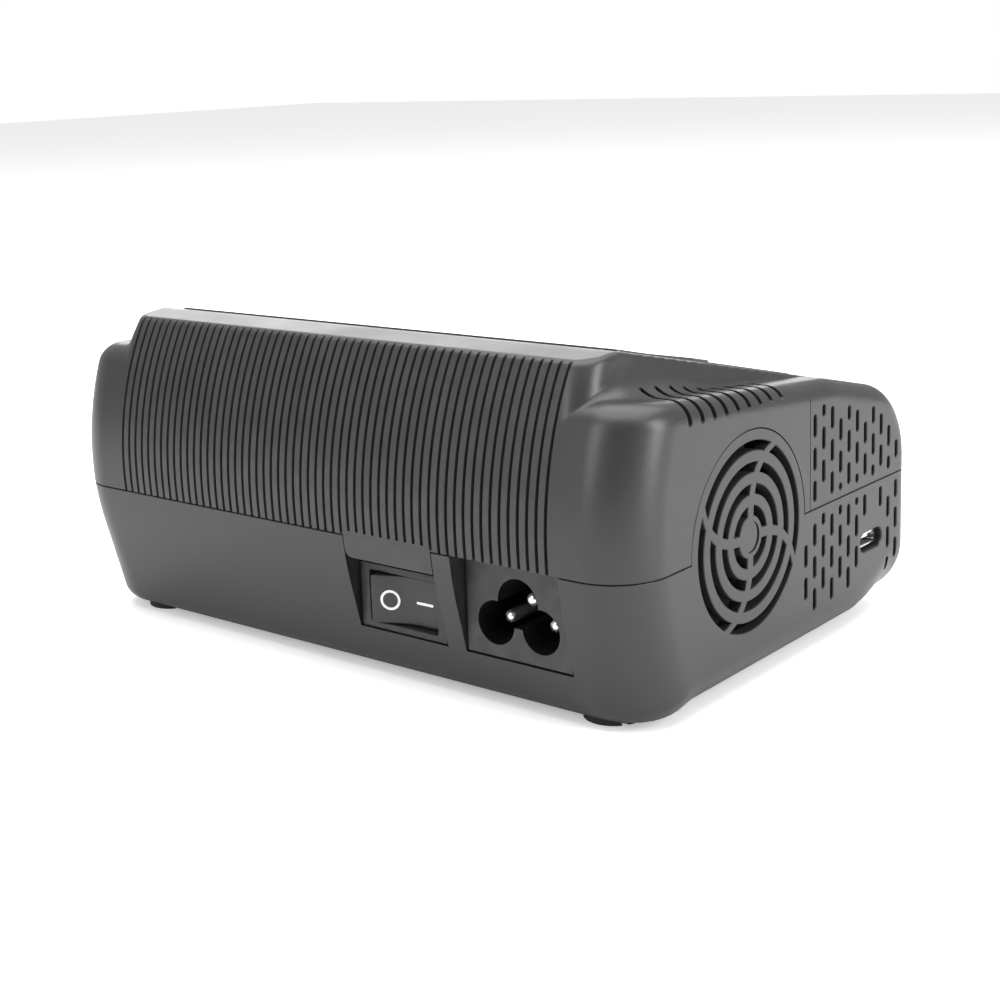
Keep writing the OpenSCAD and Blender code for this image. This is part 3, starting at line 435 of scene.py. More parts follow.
def put(tree, kind, inputs=(), **settings):
    """A new node with its settings and its inputs, which are values or sockets."""
    node = tree.nodes.new(kind)
    for key, value in settings.items():
        setattr(node, key, value)
    for key, value in dict(inputs).items():
        if isinstance(value, bpy.types.NodeSocket):
            tree.links.new(value, node.inputs[key])
        else:
            node.inputs[key].default_value = value
    return node


def math_node(tree, operation, a, b=None, clamp=False):
    """The result of a sum on values or sockets."""
    inputs = {0: a}
    if b is not None:
        inputs[1] = b
    return put(tree, "ShaderNodeMath", inputs, operation=operation, use_clamp=clamp).outputs[0]


def blend_node(tree, factor, a, b):
    """Mixes two colours."""
    node = put(tree, "ShaderNodeMix", {}, data_type="RGBA")
    for socket, value in ((node.inputs[0], factor), (node.inputs[6], a), (node.inputs[7], b)):
        if isinstance(value, bpy.types.NodeSocket):
            tree.links.new(value, socket)
        else:
            socket.default_value = value
    return node.outputs[2]


def grain_group():
    """Fine moulded or cast texture, and slow changes of tone."""
    group, given, out = new_group("surface_grain", [("Scale", 2600.0), ("Stretch", 1.0)], [
        ("Height", "NodeSocketFloat"), ("Tone", "NodeSocketFloat")])
    place = put(group, "ShaderNodeTexCoord")
    combine = put(group, "ShaderNodeCombineXYZ", {0: 1.0, 1: 1.0, 2: given.outputs["Stretch"]})
    spread = put(group, "ShaderNodeVectorMath", {0: place.outputs["Object"], 1: combine.outputs[0]},
                 operation="MULTIPLY")
    fine = put(group, "ShaderNodeTexNoise", {
        "Vector": spread.outputs[0], "Scale": given.outputs["Scale"], "Detail": 2.0,
        "Roughness": 0.55})
    slow = put(group, "ShaderNodeTexNoise", {
        "Vector": place.outputs["Object"], "Scale": 45.0, "Detail": 3.0, "Roughness": 0.6})
    group.links.new(fine.outputs[0], out.inputs["Height"])
    group.links.new(slow.outputs[0], out.inputs["Tone"])
    return group


def wear_group():
    """Where edges have rubbed bright."""
    group, given, out = new_group("edge_wear", [("Reach", 0.54), ("Breakup", 260.0)], [
        ("Mask", "NodeSocketFloat")])
    shape = put(group, "ShaderNodeNewGeometry")
    place = put(group, "ShaderNodeTexCoord")
    noise = put(group, "ShaderNodeTexNoise", {
        "Vector": place.outputs["Object"], "Scale": given.outputs["Breakup"], "Detail": 3.0})
    edge = put(group, "ShaderNodeMapRange", {
        "Value": shape.outputs["Pointiness"], "From Min": given.outputs["Reach"], "From Max": 0.62})
    broken = put(group, "ShaderNodeMapRange", {
        "Value": noise.outputs[0], "From Min": 0.35, "From Max": 0.65})
    group.links.new(math_node(group, "MULTIPLY", edge.outputs[0], broken.outputs[0], True),
                    out.inputs["Mask"])
    return group


def dust_group():
    """Thin dust on what faces up."""
    group, given, out = new_group("dust", [("Amount", 0.1)], [("Mask", "NodeSocketFloat")])
    shape = put(group, "ShaderNodeNewGeometry")
    place = put(group, "ShaderNodeTexCoord")
    split = put(group, "ShaderNodeSeparateXYZ", {0: shape.outputs["Normal"]})
    facing = put(group, "ShaderNodeMapRange", {
        "Value": split.outputs[2], "From Min": 0.3, "From Max": 1.0})
    noise = put(group, "ShaderNodeTexNoise", {
        "Vector": place.outputs["Object"], "Scale": 90.0, "Detail": 5.0, "Roughness": 0.7})
    patch = put(group, "ShaderNodeMapRange", {
        "Value": noise.outputs[0], "From Min": 0.4, "From Max": 0.75})
    mask = math_node(group, "MULTIPLY", facing.outputs[0], patch.outputs[0])
    group.links.new(math_node(group, "MULTIPLY", mask, given.outputs["Amount"], True),
                    out.inputs["Mask"])
    return group


def use(tree, group, inputs=()):
    """Places a shared node group in a material."""
    node = tree.nodes.new("ShaderNodeGroup")
    node.node_tree = bpy.data.node_groups[group]
    for key, value in dict(inputs).items():
        node.inputs[key].default_value = value
    return node


def finish(name, colour, rough, grain=2600.0, bump=0.12, stretch=1.0, tone=0.12, wear=0.25,
           dust=0.06, metallic=0.0, coat=0.0, specular=0.5, spread=0.08):
    """A procedural finish with grain, tone, worn edges and dust."""
    material = bpy.data.materials.new(name)
    material.use_nodes = True
    tree = material.node_tree
    shader = tree.nodes["Principled BSDF"]
    base = (*colour, 1.0)
    lighter = tuple(min(1.0, c * (1 + tone) + 0.004) for c in colour) + (1.0,)
    darker = tuple(c * (1 - tone) for c in colour) + (1.0,)
    rubbed = tuple(min(1.0, c * 1.5 + 0.05) for c in colour) + (1.0,)
    texture = use(tree, "surface_grain", {"Scale": grain, "Stretch": stretch})
    worn = use(tree, "edge_wear")
    dusty = use(tree, "dust", {"Amount": dust})
    mixed = blend_node(tree, texture.outputs["Tone"], darker, lighter)
    speck = put(tree, "ShaderNodeMapRange", {
        "Value": texture.outputs["Height"], "From Min": 0.3, "From Max": 0.7,
        "To Min": 0.0, "To Max": 0.35})
    mixed = blend_node(tree, speck.outputs[0], mixed, base)
    mixed = blend_node(tree, math_node(tree, "MULTIPLY", worn.outputs[0], wear), mixed, rubbed)
    mixed = blend_node(tree, dusty.outputs[0], mixed, (0.32, 0.31, 0.29, 1.0))
    tree.links.new(mixed, shader.inputs["Base Color"])
    roughness = put(tree, "ShaderNodeMapRange", {
        "Value": texture.outputs["Tone"], "From Min": 0.3, "From Max": 0.7,
        "To Min": rough - spread / 2, "To Max": rough + spread / 2})
    tree.links.new(math_node(tree, "ADD", roughness.outputs[0], dusty.outputs[0], True),
                   shader.inputs["Roughness"])
    height = put(tree, "ShaderNodeBump", {
        "Strength": bump, "Distance": 0.0001, "Height": texture.outputs["Height"]})
    tree.links.new(height.outputs[0], shader.inputs["Normal"])
    shader.inputs["Metallic"].default_value = metallic
    shader.inputs["Coat Weight"].default_value = coat
    shader.inputs["Specular IOR Level"].default_value = specular
    return material


def board_finish(name, colour):
    """Lacquered board with copper tracks showing through as paler lines."""
    material = finish(name, colour, 0.35, grain=900.0, bump=0.05, wear=0.1, dust=0.1, coat=0.3)
    tree = material.node_tree
    shader = tree.nodes["Principled BSDF"]
    under = shader.inputs["Base Color"].links[0].from_socket
    place = put(tree, "ShaderNodeTexCoord")
    bricks = put(tree, "ShaderNodeTexBrick", {
        "Vector": place.outputs["Object"], "Scale": 160.0, "Mortar Size": 0.03,
        "Mortar Smooth": 0.1, "Color1": (0, 0, 0, 1), "Color2": (0, 0, 0, 1),
        "Mortar": (1, 1, 1, 1)})
    dots = put(tree, "ShaderNodeTexVoronoi", {"Vector": place.outputs["Object"], "Scale": 420.0})
    pads = math_node(tree, "LESS_THAN", dots.outputs["Distance"], 0.16)
    tracks = math_node(tree, "MULTIPLY", bricks.outputs["Color"], 0.6)
    mask = math_node(tree, "MAXIMUM", pads, tracks, True)
    pale = tuple(min(1.0, c * 1.8 + 0.03) for c in colour) + (1.0,)
    tree.links.new(blend_node(tree, mask, under, pale), shader.inputs["Base Color"])
    return material


def wound_finish(name, colour, metallic):
    """Turns of wire laid side by side."""
    material = finish(name, colour, 0.32, grain=1500.0, metallic=metallic, dust=0.03)
    tree = material.node_tree
    shader = tree.nodes["Principled BSDF"]
    place = put(tree, "ShaderNodeTexCoord")
    turns = put(tree, "ShaderNodeTexWave", {"Vector": place.outputs["Object"], "Scale": 240.0,
                                            "Distortion": 0.6, "Detail": 1.0}, bands_direction="Z")
    height = put(tree, "ShaderNodeBump", {"Strength": 0.7, "Distance": 0.0004,
                                          "Height": turns.outputs["Fac"]})
    tree.links.new(height.outputs[0], shader.inputs["Normal"])
    return material


def clear_finish(name):
    """Tinted clear window."""
    material = finish(name, (0.5, 0.52, 0.54), 0.06, grain=300.0, bump=0.01, wear=0.0, dust=0.03,
                      spread=0.03)
    shader = material.node_tree.nodes["Principled BSDF"]
    shader.inputs["Transmission Weight"].default_value = 0.92
    shader.inputs["IOR"].default_value = 1.49
    return material


FINISHES = {}


def make_finishes(colours):
    """One material for each slot, the near-black painted shade for the inlet's mouth and the white
    marks.
    """
    grain_group()
    wear_group()
    dust_group()
    case = tuple(colours.case)
    case_look = dict(grain=2900.0, bump=0.14, tone=0.05, wear=0.35, dust=0.03, spread=0.05)
    looks = {
        "case_upper": (case, colours.case_rough, case_look),
        "case_lower": (case, colours.case_rough, case_look),
        "overlay_film": ((0.008, 0.008, 0.009), 0.3, dict(
            grain=1800.0, bump=0.05, tone=0.2, dust=0.05, coat=0.15)),
        "display_metal": ((0.42, 0.43, 0.44), 0.3, dict(
            grain=900.0, stretch=0.05, metallic=0.9, dust=0.04)),
        "button_plastic": ((0.07, 0.072, 0.076), 0.42, dict(grain=2200.0, bump=0.08)),
        "black_plastic": ((0.012, 0.012, 0.013), 0.5, dict(
            grain=2200.0, bump=0.1, wear=0.1, dust=0.05)),
        "switch_plastic": (tuple(c * 0.9 for c in case), 0.5, dict(
            grain=2900.0, tone=0.05, dust=0.02)),
        "rocker_plastic": (case, 0.4, dict(
            grain=3200.0, bump=0.06, tone=0.05, wear=0.3, dust=0.02)),
        "plated_steel": ((0.62, 0.63, 0.65), 0.25, dict(
            grain=1400.0, stretch=0.1, metallic=1.0, dust=0.03)),
        "pin_chrome": ((0.9, 0.9, 0.88), 0.22, dict(
            grain=1600.0, bump=0.05, metallic=0.85, wear=0.0, dust=0.0)),
        "contact_gold": ((0.85, 0.6, 0.22), 0.25, dict(grain=1400.0, metallic=1.0, dust=0.02)),
        "screw_steel": ((0.13, 0.13, 0.14), 0.35, dict(grain=1800.0, metallic=0.9, dust=0.05)),
        "foot_rubber": ((0.014, 0.014, 0.014), 0.8, dict(
            grain=1500.0, bump=0.3, wear=0.1, dust=0.12)),
        "socket_red": ((0.42, 0.02, 0.018), 0.38, dict(grain=2200.0, bump=0.06)),
        "socket_white": ((0.74, 0.73, 0.69), 0.42, dict(grain=2200.0, bump=0.06, tone=0.04)),
        "heat_sink": ((0.5, 0.51, 0.52), 0.4, dict(
            grain=1200.0, stretch=0.04, metallic=0.9, dust=0.08)),
        "ferrite": ((0.035, 0.035, 0.038), 0.6, dict(grain=1500.0, bump=0.25)),
        "capacitor_sleeve": ((0.02, 0.025, 0.05), 0.3, dict(grain=800.0, coat=0.3)),
        "chip_black": ((0.016, 0.016, 0.017), 0.55, dict(grain=2600.0, bump=0.15)),
        "lead_brown": ((0.16, 0.06, 0.03), 0.4, dict(grain=1800.0)),
        "mark_white": ((0.86, 0.86, 0.85), 0.45, dict(
            grain=3000.0, bump=0.05, tone=0.02, wear=0.0, dust=0.0)),
        # painted shade: near-black with little reflection, put on the faces inside the inlet's
        # mouth
        "mouth_painted_shade": ((0.004, 0.004, 0.004), 0.6, dict(
            grain=2200.0, tone=0.1, wear=0.0, dust=0.0, specular=0.2)),
    }
    for name, (colour, rough, rest) in looks.items():
        FINISHES[name] = finish(name, colour, rough, **rest)
    FINISHES["clear_window"] = clear_finish("clear_window")
    FINISHES["board_green"] = board_finish("board_green", (0.02, 0.11, 0.045))
    FINISHES["board_tan"] = board_finish("board_tan", (0.33, 0.22, 0.1))
    FINISHES["coil_tape"] = wound_finish("coil_tape", (0.55, 0.4, 0.06), 0.0)
    FINISHES["copper_winding"] = wound_finish("copper_winding", (0.62, 0.24, 0.1), 0.8)


# ---- shells ----
def groove_columns():
    """Columns of rays across the back, and how far each one sinks into its groove."""
    profile = [(-0.35, 0.0), (-0.28, 0.3), (-0.2, 0.95), (0.0, 1.0), (0.2, 0.95), (0.28, 0.3),
               (0.35, 0.0)]
    places = [-56.0]
    sunk = [0.0]
    for i in range(GROOVES):
        centre = (i - (GROOVES - 1) / 2) * GROOVE_PITCH
        for step, share in profile:
            places.append(centre + step)
            sunk.append(share)
    return places + [56.0], sunk + [0.0]


def upper_outside(sizes):
    """The upper shell's outside, with its grooves and a small bevel along its rim."""
    places, sunk = groove_columns()
    side = slopes(0.75, 3.75, 0.75) + slopes(4.5, 10.35, 0.15) + slopes(10.8, 45, 0.6)
    xs = rays(places, side, side)
    back = slopes(0.5, 6, 0.25) + slopes(7, 16, 1) + slopes(16.5, 21, 0.25) + slopes(22, 45, 1)
    ys = rays(list(np.linspace(NOSE_Y, BACK_Y - 20, 23)), slopes(1.5, 45, 1.5), back)
    base = SEAM_Z + SEAM_GAP / 2
    zs = np.array([(base + h, 0.0) for h in (0, 0.1, 0.3, 0.5, 0.75, 1.4)]
                  + [(base + 1.4, s) for s in slopes(1.5, 45, 1.5)])
    depth = np.zeros(len(xs))
    depth[len(side):len(side) + len(sunk)] = sunk
    over_tab = np.where(np.abs(xs[:, 0] - SWITCH_X) < SWITCH_HALF + 0.3, 1.0, 0.0)

    def shift(i, k, pts):
        on_back = (pts[:, 1] > 34) & (pts[:, 2] < RIB_TOP + 1)
        open_end = ramp(pts[:, 2], base + 0.32, base + 0.72)
        low_end = 1 + over_tab[i] * (open_end - 1)
        high_end = ramp(pts[:, 1], back_y(RIB_TOP) - 0.45, back_y(RIB_TOP) - 0.05)
        cut = sizes.groove_depth / MM * 1.08 * depth[i] * low_end * high_end * on_back
        return cut + np.where(k == 0, 0.09, 0.0)

    return ray_body("upper_shell_skin", upper_distance, xs, ys, zs, True, 0.0, shift)


def upper_inside(wall):
    """The hollow of the upper shell."""
    side = slopes(5, 45, 5)
    xs = rays(list(np.linspace(-56, 56, 9)), side, side)
    ys = rays(list(np.linspace(NOSE_Y, BACK_Y - 20, 9)), slopes(5, 45, 5), slopes(3, 45, 3))
    zs = np.array([(27.0, 0.0), (30.0, 0.0)] + [(30.0, s) for s in slopes(5, 45, 5)])
    return ray_body("upper_inside", upper_distance, xs, ys, zs, True, wall)


def stadium(y, z0, z1, w, n=7):
    """An upright slot's outline in (y, z)."""
    r = w / 2
    low = [(y + r * math.cos(a), z0 + r + r * math.sin(a))
           for a in (math.pi + math.pi * i / n for i in range(n + 1))]
    high = [(y + r * math.cos(a), z1 - r + r * math.sin(a))
            for a in (math.pi * i / n for i in range(n + 1))]
    if z1 - z0 - w < 0.02:
        high = high[1:-1]
    return low + high


def vent_spans(upper):
    """(y, lowest, highest) of each side slot."""
    spans = []
    for j in range(1 if upper else 0, 12):
        depth = VENT_FIRST + VENT_PITCH * j
        y = BACK_Y - depth
        top = min(19.9 - 0.2 * (depth - 64), 16.9 - 1.5 * (depth - 89) if depth > 89 else 19.9)
        for k in range(-2, 9):
            c = (9.75 - 3 * (j - 1) if upper else -8.45 - 3 * j) + VENT_STEP * k
            lo, hi = c - VENT_HALF, c + VENT_HALF
            if upper:
                if c <= -VENT_HALF or lo >= top - VENT_W:
                    continue
                lo, hi = max(1.5, lo), min(top, hi)
            else:
                if c >= VENT_HALF or c <= -20 or (abs(y - USB_Y) < 5.65 and c < -5.7):
                    continue
                lo, hi = max(-20, lo), min(-1.5, hi)
            near = (y - FAN_Y) ** 2 + ((lo + hi) / 2) ** 2 < (GRILLE_R + 1.2) ** 2
            if hi - lo > VENT_W and not near:
                spans.append((y, SEAM_Z + lo, SEAM_Z + hi))
    return spans


def add_vents(tool, upper):
    """Side slots through both walls, with a small flare outside that catches the light."""
    for y, lo, hi in vent_spans(upper):
        outline = stadium(y, lo, hi, VENT_W)
        for s in (-1, 1):
            tool.loft(along_x(outline, [(s * (HALF_W - 4.5), 0), (s * (HALF_W - 0.14), 0),
                                        (s * (HALF_W + 0.3), 0.44)]))


def add_louvres(tool):
    """Slots over the ledges, from the foot of the deck down over the outer edge."""
    for i in range(LOUVRES):
        y = BACK_Y - LOUVRE_FIRST - LOUVRE_PITCH * i
        foot = 60.5 + 6.5 * min(1.6, max(0, (BACK_Y - y - 15) / 55))
        inner = foot + (deck_z(y) - ledge_z(y)) * math.tan(CHEEK_LEAN)
        low = ledge_z(y) - LOUVRE_DROP + LOUVRE_CLIMB * i
        outline = stadium(y, low, ledge_z(y) + 1.6, LOUVRE_W)
        for s in (-1, 1):
            tool.loft(along_x(outline, [(s * inner, 0), (s * (HALF_W - 0.1), 0),
                                        (s * (HALF_W + 0.3), 0.4)]))


def on_deck(u, v, w):
    """A place given across, up the slope and above the deck plane."""
    s, c = math.sin(DECK_SLOPE), math.cos(DECK_SLOPE)
    return (u, v * c - w * s, deck_z(0) + v * s + w * c)


def deck_prism(tool, outline, w0, w1):
    """A body square to the deck plane, from one height over it to another."""
    tool.loft([[on_deck(u, v, w) for u, v in outline] for w in (w0, w1)])


def switch_tab(z0, z1):
    """The flush tab of the upper shell over the switch, with one rounded lower corner."""
    x0, x1 = SWITCH_X - SWITCH_HALF + 0.2, SWITCH_X + SWITCH_HALF - 0.2
    r = 1.6
    outline = [(x0, z0), (x1 - r, z0)]
    outline += [(x1 - r + r * math.sin(a), z0 + r - r * math.cos(a))
                for a in (math.pi / 2 * i / 6 for i in range(1, 7))]
    outline += [(x1, z1), (x0, z1)]
    tab = as_object(Solid().loft(along_y(outline, [(44.0, 0), (54.0, 0)])), "tab")
    steps = np.linspace(z0 - 2, z1 + 2, 12)
    profile = [(back_y(z), z) for z in steps] + [(back_y(z) - 3.9, z) for z in steps[::-1]]
    band = Solid().loft([[(x, y, z) for y, z in profile] for x in (x0 - 3, x1 + 3)])
    carve(tab, band, "INTERSECT")
    return tab


def build_upper(sizes):
    """The upper shell: hollow, with the tab, slots, grille arch, panel lines and deck openings."""
    wall = sizes.wall / MM
    shell = upper_outside(sizes)
    carve(shell, upper_inside(wall))
    carve(shell, switch_tab(SEAM_Z - 4.3, SEAM_Z + 1.0), "UNION")
    tool = Solid()
    add_vents(tool, True)
    add_louvres(tool)
    tool.loft(along_x(circle(FAN_Y, FAN_Z, GRILLE_R, 160), [(-HALF_W - 1, 0), (-HALF_W + 4, 0)]))
    for s in (-1, 1):
        y = BACK_Y - 59.8
        x0, x1 = sorted((s * (HALF_W - 0.25), s * (HALF_W + 1)))
        tool.box((x0, y - 0.11, SEAM_Z - 1), (x1, y + 0.11, SEAM_Z + 22))
    deck_prism(tool, rounded(0, 9, 66.5, 28.5, 2.2), -8, 3)
    for x in (-34.5, -11.5, 11.5, 34.5):
        deck_prism(tool, rounded(x, -20, 15.6, 7.6, 1.9), -8, 3)
    carve(shell, tool)
    shell.name = "case_top"
    settle(shell, "case", [FINISHES["case_upper"]], ["upper_shell"], 30)


def lower_lattice(offset, top):
    """The lower shell's outside, drawn in by an offset and closed at a height."""
    side = slopes(2.5, 45, 2.5)
    xs = rays(list(np.linspace(-58, 58, 19)), side, side)
    ys = rays(list(np.linspace(-36, 24, 13)), side, slopes(2.5, 45, 2.5))
    zs = [(top, 0.0), (top - 0.1, 0.0)] + [(z, 0.0) for z in np.linspace(min(top, 28) - 1, 14, 8)]
    zs = np.array(zs + [(14.0, -s) for s in slopes(2.5, 45, 2.5)])

    def shift(i, k, pts):
        return np.where((k == 0) & (offset == 0), 0.09, 0.0)

    return ray_body("lower_skin", lower_distance, xs, ys, zs, False, offset, shift)


def grille_openings(tool):
    """Four rings of openings, parted by swirling spokes."""
    def at(r, a):
        return (FAN_Y - r * math.cos(a), FAN_Z + r * math.sin(a))

    for ring in range(RINGS):
        r0 = RING_FIRST + RING_PITCH * ring
        r1 = r0 + RING_W
        for k in range(4):
            def edge(r, quarter, side):
                swirl = -SPOKE_SWIRL * max(0, r - 2) ** 2
                return math.radians(90 * quarter + swirl) + side * math.asin(SPOKE_HALF / r)
            rs = np.linspace(r0, r1, 4)
            start = [at(r, edge(r, k, 1)) for r in rs]
            end = [at(r, edge(r, k + 1, -1)) for r in rs]
            a0, a1 = edge(r1, k, 1), edge(r1, k + 1, -1)
            b0, b1 = edge(r0, k, 1), edge(r0, k + 1, -1)
            n = 10 + 6 * ring
            outer = [at(r1, a0 + (a1 - a0) * i / n) for i in range(1, n)]
            inner = [at(r0, b1 + (b0 - b1) * i / n) for i in range(1, n)]
            outline = start + outer + end[::-1] + inner
            tool.loft(along_x(outline, [(-HALF_W + 4, 0), (-HALF_W + 0.15, 0),
                                        (-HALF_W - 0.2, 0.3)]))


def hub_crescent(tool):
    """The shallow step round one side of the grille's hub."""
    n = 24
    outer, inner = [], []
    for i in range(n + 1):
        a = math.radians(-115 + 190 * i / n)
        t = math.sin(math.pi * i / n)
        outer.append((FAN_Y - 2.95 * math.cos(a), FAN_Z + 2.95 * math.sin(a)))
        r = 2.93 - 0.75 * t
        inner.append((FAN_Y - r * math.cos(a), FAN_Z + r * math.sin(a)))
    tool.loft(along_x(outer + inner[::-1], [(-HALF_W - 0.5, 0), (-HALF_W + 0.4, 0)]))


def build_lower(sizes):
    """The lower shell: hollow, with the block round its two recesses and the grille disc."""
    wall = sizes.wall / MM
    rim = SEAM_Z - SEAM_GAP / 2
    shell = lower_lattice(0.0, rim)
    carve(shell, lower_lattice(wall, rim + 1.2))
    block = as_object(Solid().box((INLET_X - 13.6, 40.5, RECESS_Z - 1.6),
                                  (SWITCH_X + 12.5, 53, rim)), "block")
    carve(block, lower_lattice(0.0, rim), "INTERSECT")
    carve(shell, block, "UNION")
    disc = Solid().loft(along_x(circle(FAN_Y, FAN_Z, GRILLE_R - 0.2, 160),
                                [(-HALF_W + wall, 0), (-HALF_W + 0.1, 0),
                                 (-HALF_W + 0.005, -0.08)]))
    carve(shell, disc, "UNION")
    tool = Solid()
    tool.box((INLET_X - 12, 36, RECESS_Z), (INLET_X + 12, 54, SEAM_Z + 4))
    tool.box((SWITCH_X - SWITCH_HALF, 36, RECESS_Z), (SWITCH_X + SWITCH_HALF, 54, SEAM_Z + 4))
    add_vents(tool, False)
    grille_openings(tool)
    hub_crescent(tool)
    tool.loft(along_x(rounded(USB_Y, USB_Z, *USB_SIZE, 1.94, 8),
                      [(-HALF_W + 4, 0), (-HALF_W + 0.2, 0), (-HALF_W - 0.2, 0.4)]))
    for i, x in enumerate(BALANCE_X):
        tool.box((x - 0.15, FRONT_Y - 1, BALANCE_Z[0]),
                 (x + 10.05 + 2.5 * i, FRONT_Y + 5, BALANCE_Z[1]))
    for x in OUTPUT_X:
        tool.loft(along_y(circle(x, OUTPUT_Z, 6.2, 64), [(FRONT_Y - 1, 0), (FRONT_Y + 5, 0)]))
    for sx in (-1, 1):
        for sy in (-1, 1):
            tool.loft(along_z(circle(sx * 58.5, sy * 36.75, 5.65, 64), [(-1, 0), (2.2, 0)]))
        tool.loft(along_z(circle(sx * 60, -24.95, 3.1, 48), [(-1, 0), (4.6, 0)]))
    carve(shell, tool)
    shell.name = "case_bottom"
    settle(shell, "case", [FINISHES["case_lower"]], ["lower_shell"], 30)


# ---- switch and inlet ----
def build_switch():
    """The switch's frame, and its rocker with a ring and a dash inlaid."""
    lo, hi = [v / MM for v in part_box("switch_housing")]
    plate = Solid().box((lo.x, FACE_Y - 1.6, lo.z), (hi.x, FACE_Y, hi.z))
    housing = as_object(plate, "switch_frame")
    rear = Solid().box((SWITCH_X - 8.7, FACE_Y - 15, SWITCH_Z - 5.7),
                       (SWITCH_X + 8.7, FACE_Y - 1.3, SWITCH_Z + 5.7))
    carve(housing, rear, "UNION")
    mouth = Solid().loft(along_y(rounded(SWITCH_X, SWITCH_Z, 16.6, 10.0, 0.5),
                                 [(FACE_Y - 9.2, 0), (FACE_Y + 1, 0)]))
    carve(housing, mouth)
    bevel(housing, 0.25, 3)
    settle(housing, "case", [FINISHES["switch_plastic"]], ["switch_housing"])

    half, ends = 7.5, 3.6

    def dish(x):
        """How far the rocker's face stands out of its pivot, with a soft valley in the middle."""
        return ends + (math.hypot(x, 2.0) - math.hypot(half, 2.0)) * math.tan(THROW)

    face = [(x, dish(x)) for x in np.linspace(half, -half, 15)]
    outline = face + [(0.8 - half, ends - 3.2), (-2.2, -5.0), (2.2, -5.0), (half - 0.8, ends - 3.2)]
    rocker = as_object(Solid().loft(along_z(outline, [(-4.7, 0), (4.7, 0)])), "rocker_key")
    bevel(rocker, 0.4, 4, 40)
    turn = (Matrix.Translation((SWITCH_X, PIVOT_Y, SWITCH_Z))
            @ Matrix.Rotation(THROW, 4, "Z"))
    rocker.data.transform(turn)
    settle(rocker, "rocker", [FINISHES["rocker_plastic"]], ["rocker"])

    marks = Solid()

    def on_face(side, a, z, out):
        """A place on one half of the rocker's face: a from its middle, z up, out from it."""
        return (side * (a - out * math.sin(THROW)), dish(a) + out * math.cos(THROW), z)

    n = 40
    sunk, proud = -0.25, 0.03
    mark_x, mark_z = 3.7, -0.1
    for r, out in ((1.95, sunk), (1.95, proud), (1.47, proud), (1.47, sunk)):
        marks.points.extend(on_face(1, x, z, out) for x, z in circle(mark_x, mark_z, r, n))
    for k in range(4):
        a, b = k * n, (k + 1) % 4 * n
        for i in range(n):
            j = (i + 1) % n
            marks.faces.append([a + i, a + j, b + j, b + i])
    bar = rounded(mark_x, mark_z, 3.9, 0.5, 0.24, 5)
    marks.loft([[on_face(-1, x, z, out) for x, z in bar] for out in (sunk, proud)])
    obj = as_object(marks, "rocker_marks")
    mesh = bmesh.new()
    mesh.from_mesh(obj.data)
    bmesh.ops.recalc_face_normals(mesh, faces=mesh.faces)
    mesh.to_mesh(obj.data)
    mesh.free()
    obj.data.transform(turn)
    settle(obj, "rocker", [FINISHES["mark_white"]])


def clover(y0, y1, growth):
    """The three-lobed mouth as one tool."""
    def lobe(x, z, r):
        outline = circle(INLET_X + x, INLET_Z + z, r + growth, 72)
        return Solid().loft(along_y(outline, [(y0, 0), (y1, 0)]))
    tool = as_object(lobe(0, 4.4, 4.45), "clover")
    carve(tool, lobe(-5, 0, 4.1), "UNION")
    carve(tool, lobe(5, 0, 4.1), "UNION")
    heart = Solid().box((INLET_X - 3.6, y0, INLET_Z - 0.3), (INLET_X + 3.6, y1, INLET_Z + 5))
    carve(tool, heart, "UNION")
    return tool


def build_inlet():
    """The mains inlet, with near-black painted shade inside its mouth, and its three pins."""
    lo, hi = [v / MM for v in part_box("mains_inlet")]
    body = as_object(Solid().box(tuple(lo), tuple(hi)), "inlet_body")
    carve(body, clover(hi.y - 15, hi.y + 1, 0.0))
    bevel(body, 0.18, 3, 50)
    mesh = body.data
    mesh.materials.append(None)
    mesh.materials.append(None)
    # the faces inside the mouth get the near-black painted shade, the rest the switch plastic
    for poly in mesh.polygons:
        c = poly.center
        inside = lo.x + 1 < c.x < hi.x - 1 and lo.z + 1 < c.z < hi.z - 1 and c.y < hi.y - 0.17
        poly.material_index = 1 if inside and c.y > lo.y + 0.5 else 0
    settle(body, "case", [FINISHES["switch_plastic"], FINISHES["mouth_painted_shade"]],
           ["mains_inlet"])
    lo, hi = [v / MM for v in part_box("inlet_pins")]
    pins = Solid()
    r = 1.18
    for x, z in ((-5, 0), (5, 0), (0, 4.0)):
        stations = [(lo.y, -0.15), (lo.y + 0.15, 0), (hi.y - 0.9, 0)]
        stations += [(hi.y - 0.9 + 0.9 * math.sin(a), -r * (1 - math.cos(a)) * 0.85)
                     for a in (math.pi / 2 * i / 6 for i in range(1, 7))]
        pins.loft(along_y(circle(INLET_X + x, INLET_Z + z, r, 32), stations))
    obj = as_object(pins, "inlet_prongs")
    settle(obj, "case", [FINISHES["pin_chrome"]], ["inlet_pins"], 40)


